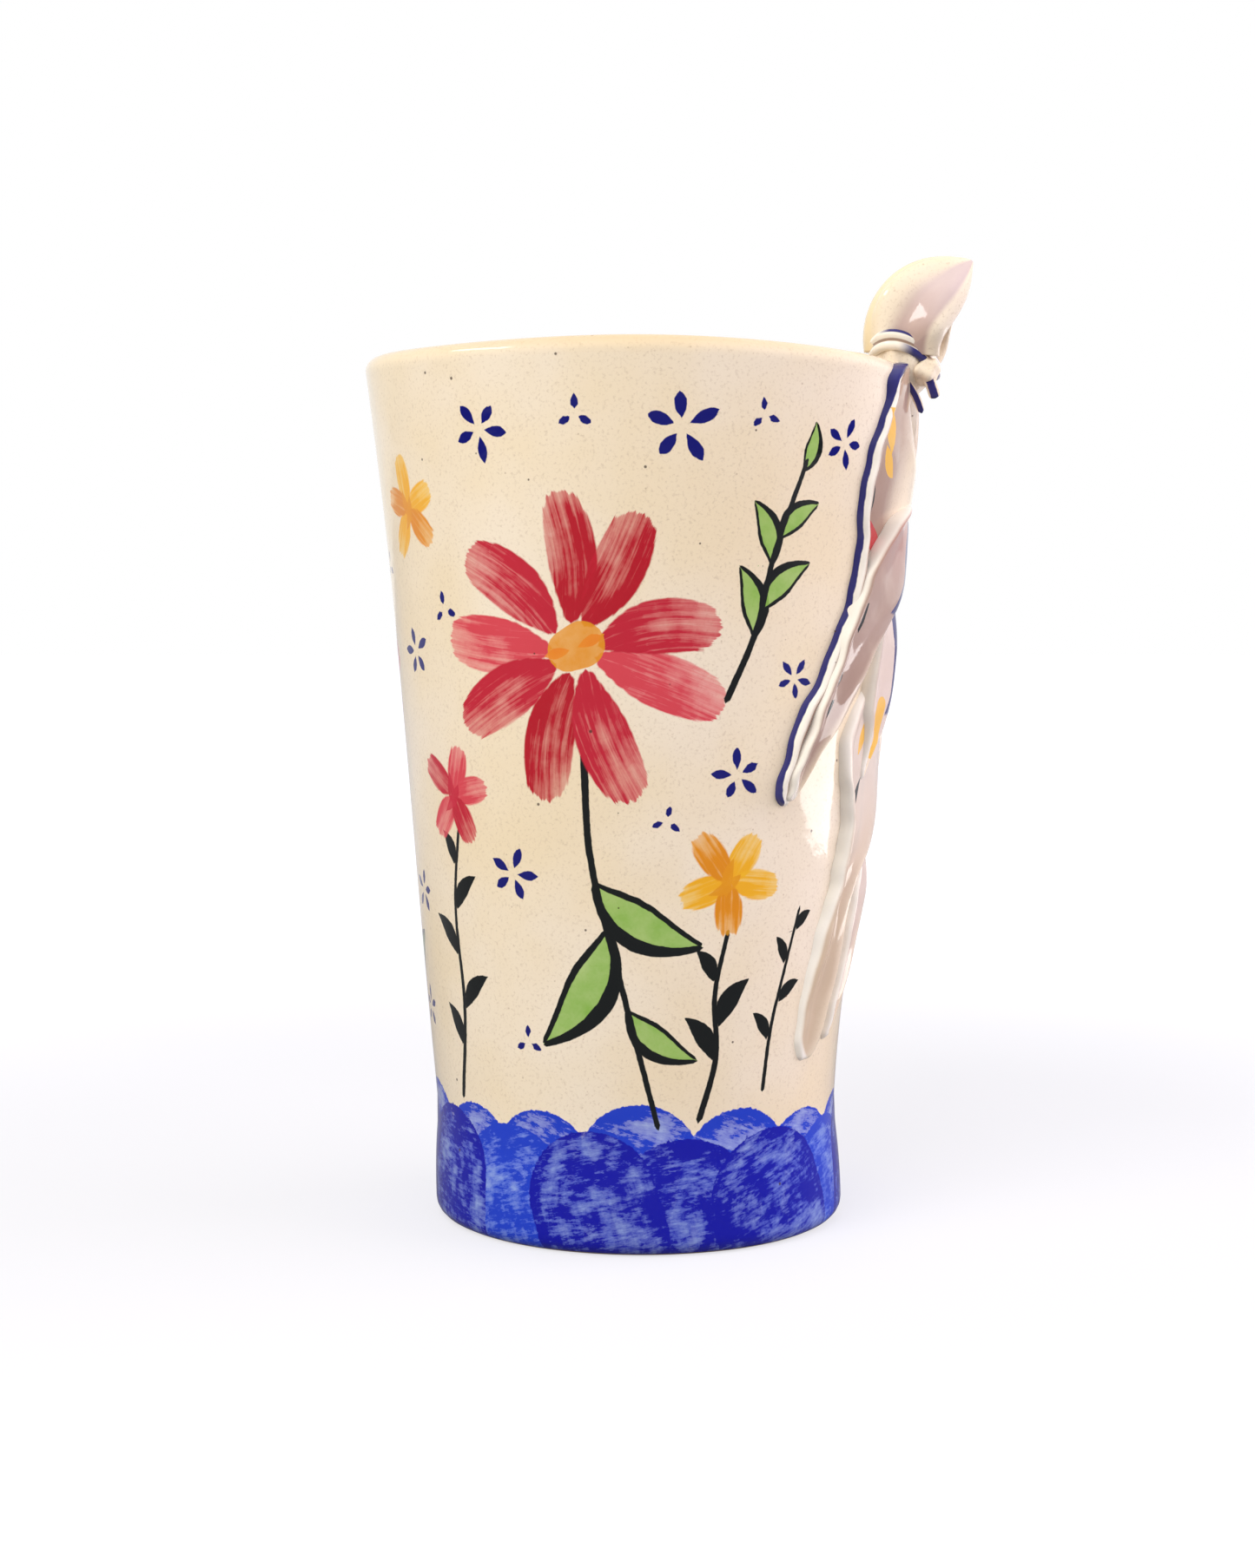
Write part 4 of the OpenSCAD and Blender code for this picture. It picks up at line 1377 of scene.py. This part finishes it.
# Painted shade in the ruff's valley near its front edge, a warmer painted lit side on its left and top, and
# painted shade on its inside
RUFF_LIGHT_AND_SHADE = [
    PaintedLight(0.5, 1.8, 6.5, 10.0, ink(180, 150, 142), ink(212, 190, 190), 20, 0.9),
    PaintedLight(10.5, 15.0, 24.0, 30.0, ink(236, 214, 168), ink(243, 225, 186), 20, 0.85),
    PaintedLight(45, 55, 99, 100, ink(186, 142, 110), ink(206, 170, 142), 20, 0.9),
]
# Painted light and shade on the strip: a painted highlight white over most of it, and painted shade in the
# groove between its two strands
GROOVE_SHADE = ink(134, 98, 74)
STRIP_LIGHT_AND_SHADE = [
    PaintedLight(-1, 0, 9, 10, HIGHLIGHT_WHITE, HIGHLIGHT_WHITE, 10, 0.7),
    PaintedLight(1.2, 1.45, 1.7, 1.95, GROOVE_SHADE, GROOVE_SHADE, 10, 0.85),
]
STRIP_HEMS = [Hem(0, -0.4, 1.25, 7.7, 9.9, 0.0), Hem(0, 2.75, 3.4, 6.6, 9.9, 0.0)]
TAIL_HEMS = [Hem(0, 0.3, 1.65, 1.0, 9.0, 0.0)]


def make_tie():
    strip = glazed("glaze_strip", hems=STRIP_HEMS, shading_bands=STRIP_LIGHT_AND_SHADE)
    ends = glazed("glaze_loose_ends", hems=TAIL_HEMS)
    dress(make_ruff(), glazed("glaze_ruff", shading_bands=RUFF_LIGHT_AND_SHADE))
    dress(make_neck(), glazed("glaze_neck"))
    dress(make_strip(), strip)
    dress(make_knot(), glazed("glaze_knot"))
    for name, (path, half_w, half_t) in TAILS.items():
        dress(make_band(name, np.asarray(path) + KNOT_AT, half_w, half_t), ends)


# Floor, light and camera

FLOOR_HALF = 3.0
FLOOR_MATTE = (0.26, 0.26, 0.27)
FLOOR_TINT = (0.98, 0.97, 1.0)
FLOOR_GLOW = 0.68
FLOOR_GLOWS = (0.12, 0.5)  # the glow grows to full white between these distances from the cup
FLOOR_MIRRORED = 0.5
FLOOR_MIRRORS = (-0.05, 0.5)  # the floor shows in the glaze from here on, towards the back
SKY = (0.97, 0.98, 1.0)
SKY_LIGHT = 0.56
ROOM_LIGHT = 0.1
ROOM_ENDS = (-0.1, 0.8)  # in the glaze the dark room in front gives way to white at the back
WHITE = (1.0, 1.0, 1.0)
MIDDLE = (0, 0, 0.075)

# A lamp is [direction, elevation, distance, size, watts, colour, what it is aimed at, where it shows]
LAMPS = {
    "window_right": (90, 12, 0.85, (1.0, 0.8), 9.3, (1.0, 0.92, 1.0), MIDDLE, "matte"),
    "fill_left": (-50, 18, 0.95, (0.7, 0.9), 3.7, (1.0, 0.95, 0.8), MIDDLE, "matte"),
    "key_above_left": (-30, 46, 0.95, (0.6, 0.5), 4.6, (1.0, 0.98, 0.95), MIDDLE, "matte"),
    "overhead": (10, 78, 0.9, (0.9, 0.9), 0.7, WHITE, MIDDLE, "matte and gloss"),
    "glint_above_left": (-80, 42, 0.95, (0.4, 0.12), 1.1, WHITE, MIDDLE, "gloss"),
    "glare_right": (97, 0, 0.3, (0.12, 0.06), 0.11, WHITE, (0, 0, 0.035), "gloss"),
}


def make_lamp(name, direction, elevation, distance, size, power, colour, target, shows):
    lamp = bpy.data.lights.new(name, "AREA")
    lamp.shape = "RECTANGLE"
    lamp.size, lamp.size_y = size
    lamp.energy = power
    lamp.color = colour
    thing = bpy.data.objects.new(name, lamp)
    a, e = np.radians(direction), np.radians(elevation)
    away = Vector((np.sin(a) * np.cos(e), -np.cos(a) * np.cos(e), np.sin(e)))
    thing.location = Vector(target) + distance * away
    thing.rotation_euler = (Vector(target) - thing.location).to_track_quat("-Z", "Y").to_euler()
    thing.visible_glossy = "gloss" in shows
    thing.visible_diffuse = "matte" in shows
    bpy.context.scene.collection.objects.link(thing)


def seen_rays(n):
    """1 for what the camera sees itself, and 1 for what it sees in the glaze."""
    rays = n.add("ShaderNodeLightPath").outputs
    straight, glossy, through_glass = [
        Value(n, rays[f"Is {kind} Ray"]) for kind in ("Camera", "Glossy", "Transmission")
    ]
    return straight, n.math("MAXIMUM", glossy, through_glass)


def make_floor():
    """A white floor that keeps the cup's shadow."""
    form = bmesh.new()
    bmesh.ops.create_grid(form, x_segments=2, y_segments=2, size=FLOOR_HALF)
    mesh = bpy.data.meshes.new("floor")
    form.to_mesh(mesh)
    form.free()
    floor = bpy.data.objects.new("floor", mesh)
    bpy.context.scene.collection.objects.link(floor)
    material = bpy.data.materials.new("white_floor")
    material.use_nodes = True
    n = Nodes(material.node_tree)
    place = n.value("ShaderNodeTexCoord", out="Object")
    far = n.value("ShaderNodeVectorMath", {0: place}, "Value", operation="LENGTH")
    depth = n.values("ShaderNodeSeparateXYZ", {0: place})[1]
    straight, mirrored = seen_rays(n)
    mirrored = mirrored * n.ramp(depth, *FLOOR_MIRRORS, 0.0, FLOOR_MIRRORED)
    strength = straight * n.ramp(far, *FLOOR_GLOWS, FLOOR_GLOW, 1.0) + mirrored
    matte = n.value("ShaderNodeBsdfDiffuse", {"Color": FLOOR_MATTE})
    glow = n.value("ShaderNodeEmission", {"Color": FLOOR_TINT, "Strength": strength})
    n.add("ShaderNodeOutputMaterial", {0: n.value("ShaderNodeAddShader", {0: matte, 1: glow})})
    mesh.materials.append(material)


def make_world():
    """White where the camera sees it, itself or in the glaze, and a plain light for the rest."""
    world = bpy.data.worlds.new("studio")
    bpy.context.scene.world = world
    world.use_nodes = True
    n = Nodes(world.node_tree)
    straight, mirrored = seen_rays(n)
    shade = n.blend(straight + mirrored, SKY, WHITE)
    place = n.value("ShaderNodeTexCoord", out="Generated")
    white = n.ramp(n.values("ShaderNodeSeparateXYZ", {0: place})[1], *ROOM_ENDS, ROOM_LIGHT, 1.0)
    strength = n.pick(mirrored, n.pick(straight, SKY_LIGHT, 1.0), white)
    light = n.value("ShaderNodeBackground", {"Color": shade, "Strength": strength})
    n.add("ShaderNodeOutputWorld", {0: light})


PHOTO = (1445, 1806)
FOCAL_PX = 2942.8
SENSOR = 36.0
CAMERA_BACK = 0.4359
CAMERA_UP = 0.10836
CAMERA_PITCH = 2.543
CAMERA_TURN = 0.305
SHIFT_PX = -110.0


def make_camera():
    lens = bpy.data.cameras.new("camera")
    lens.sensor_fit = "VERTICAL"
    lens.sensor_height = SENSOR
    lens.lens = FOCAL_PX / PHOTO[1] * SENSOR
    lens.shift_y = SHIFT_PX / PHOTO[1]
    lens.clip_start = 0.01
    camera = bpy.data.objects.new("camera", lens)
    camera.location = (0, -CAMERA_BACK, CAMERA_UP)
    camera.rotation_euler = Euler((np.radians(90 - CAMERA_PITCH), 0, np.radians(CAMERA_TURN)))
    bpy.context.scene.collection.objects.link(camera)
    bpy.context.scene.camera = camera


def main():
    rng = np.random.default_rng(SEED)
    make_camera()
    make_floor()
    make_world()
    for name, lamp in LAMPS.items():
        make_lamp(name, *lamp)
    cup = make_cup()
    coats = lay_strokes(cup, wall_painting(rng), rng, least_r=PAINTED_DEEP)
    dress(cup, glazed("glaze_painted_wall", coats, is_cup=True))
    make_drape(rng)
    make_tie()
    bpy.context.scene.view_settings.view_transform = "Standard"


main()
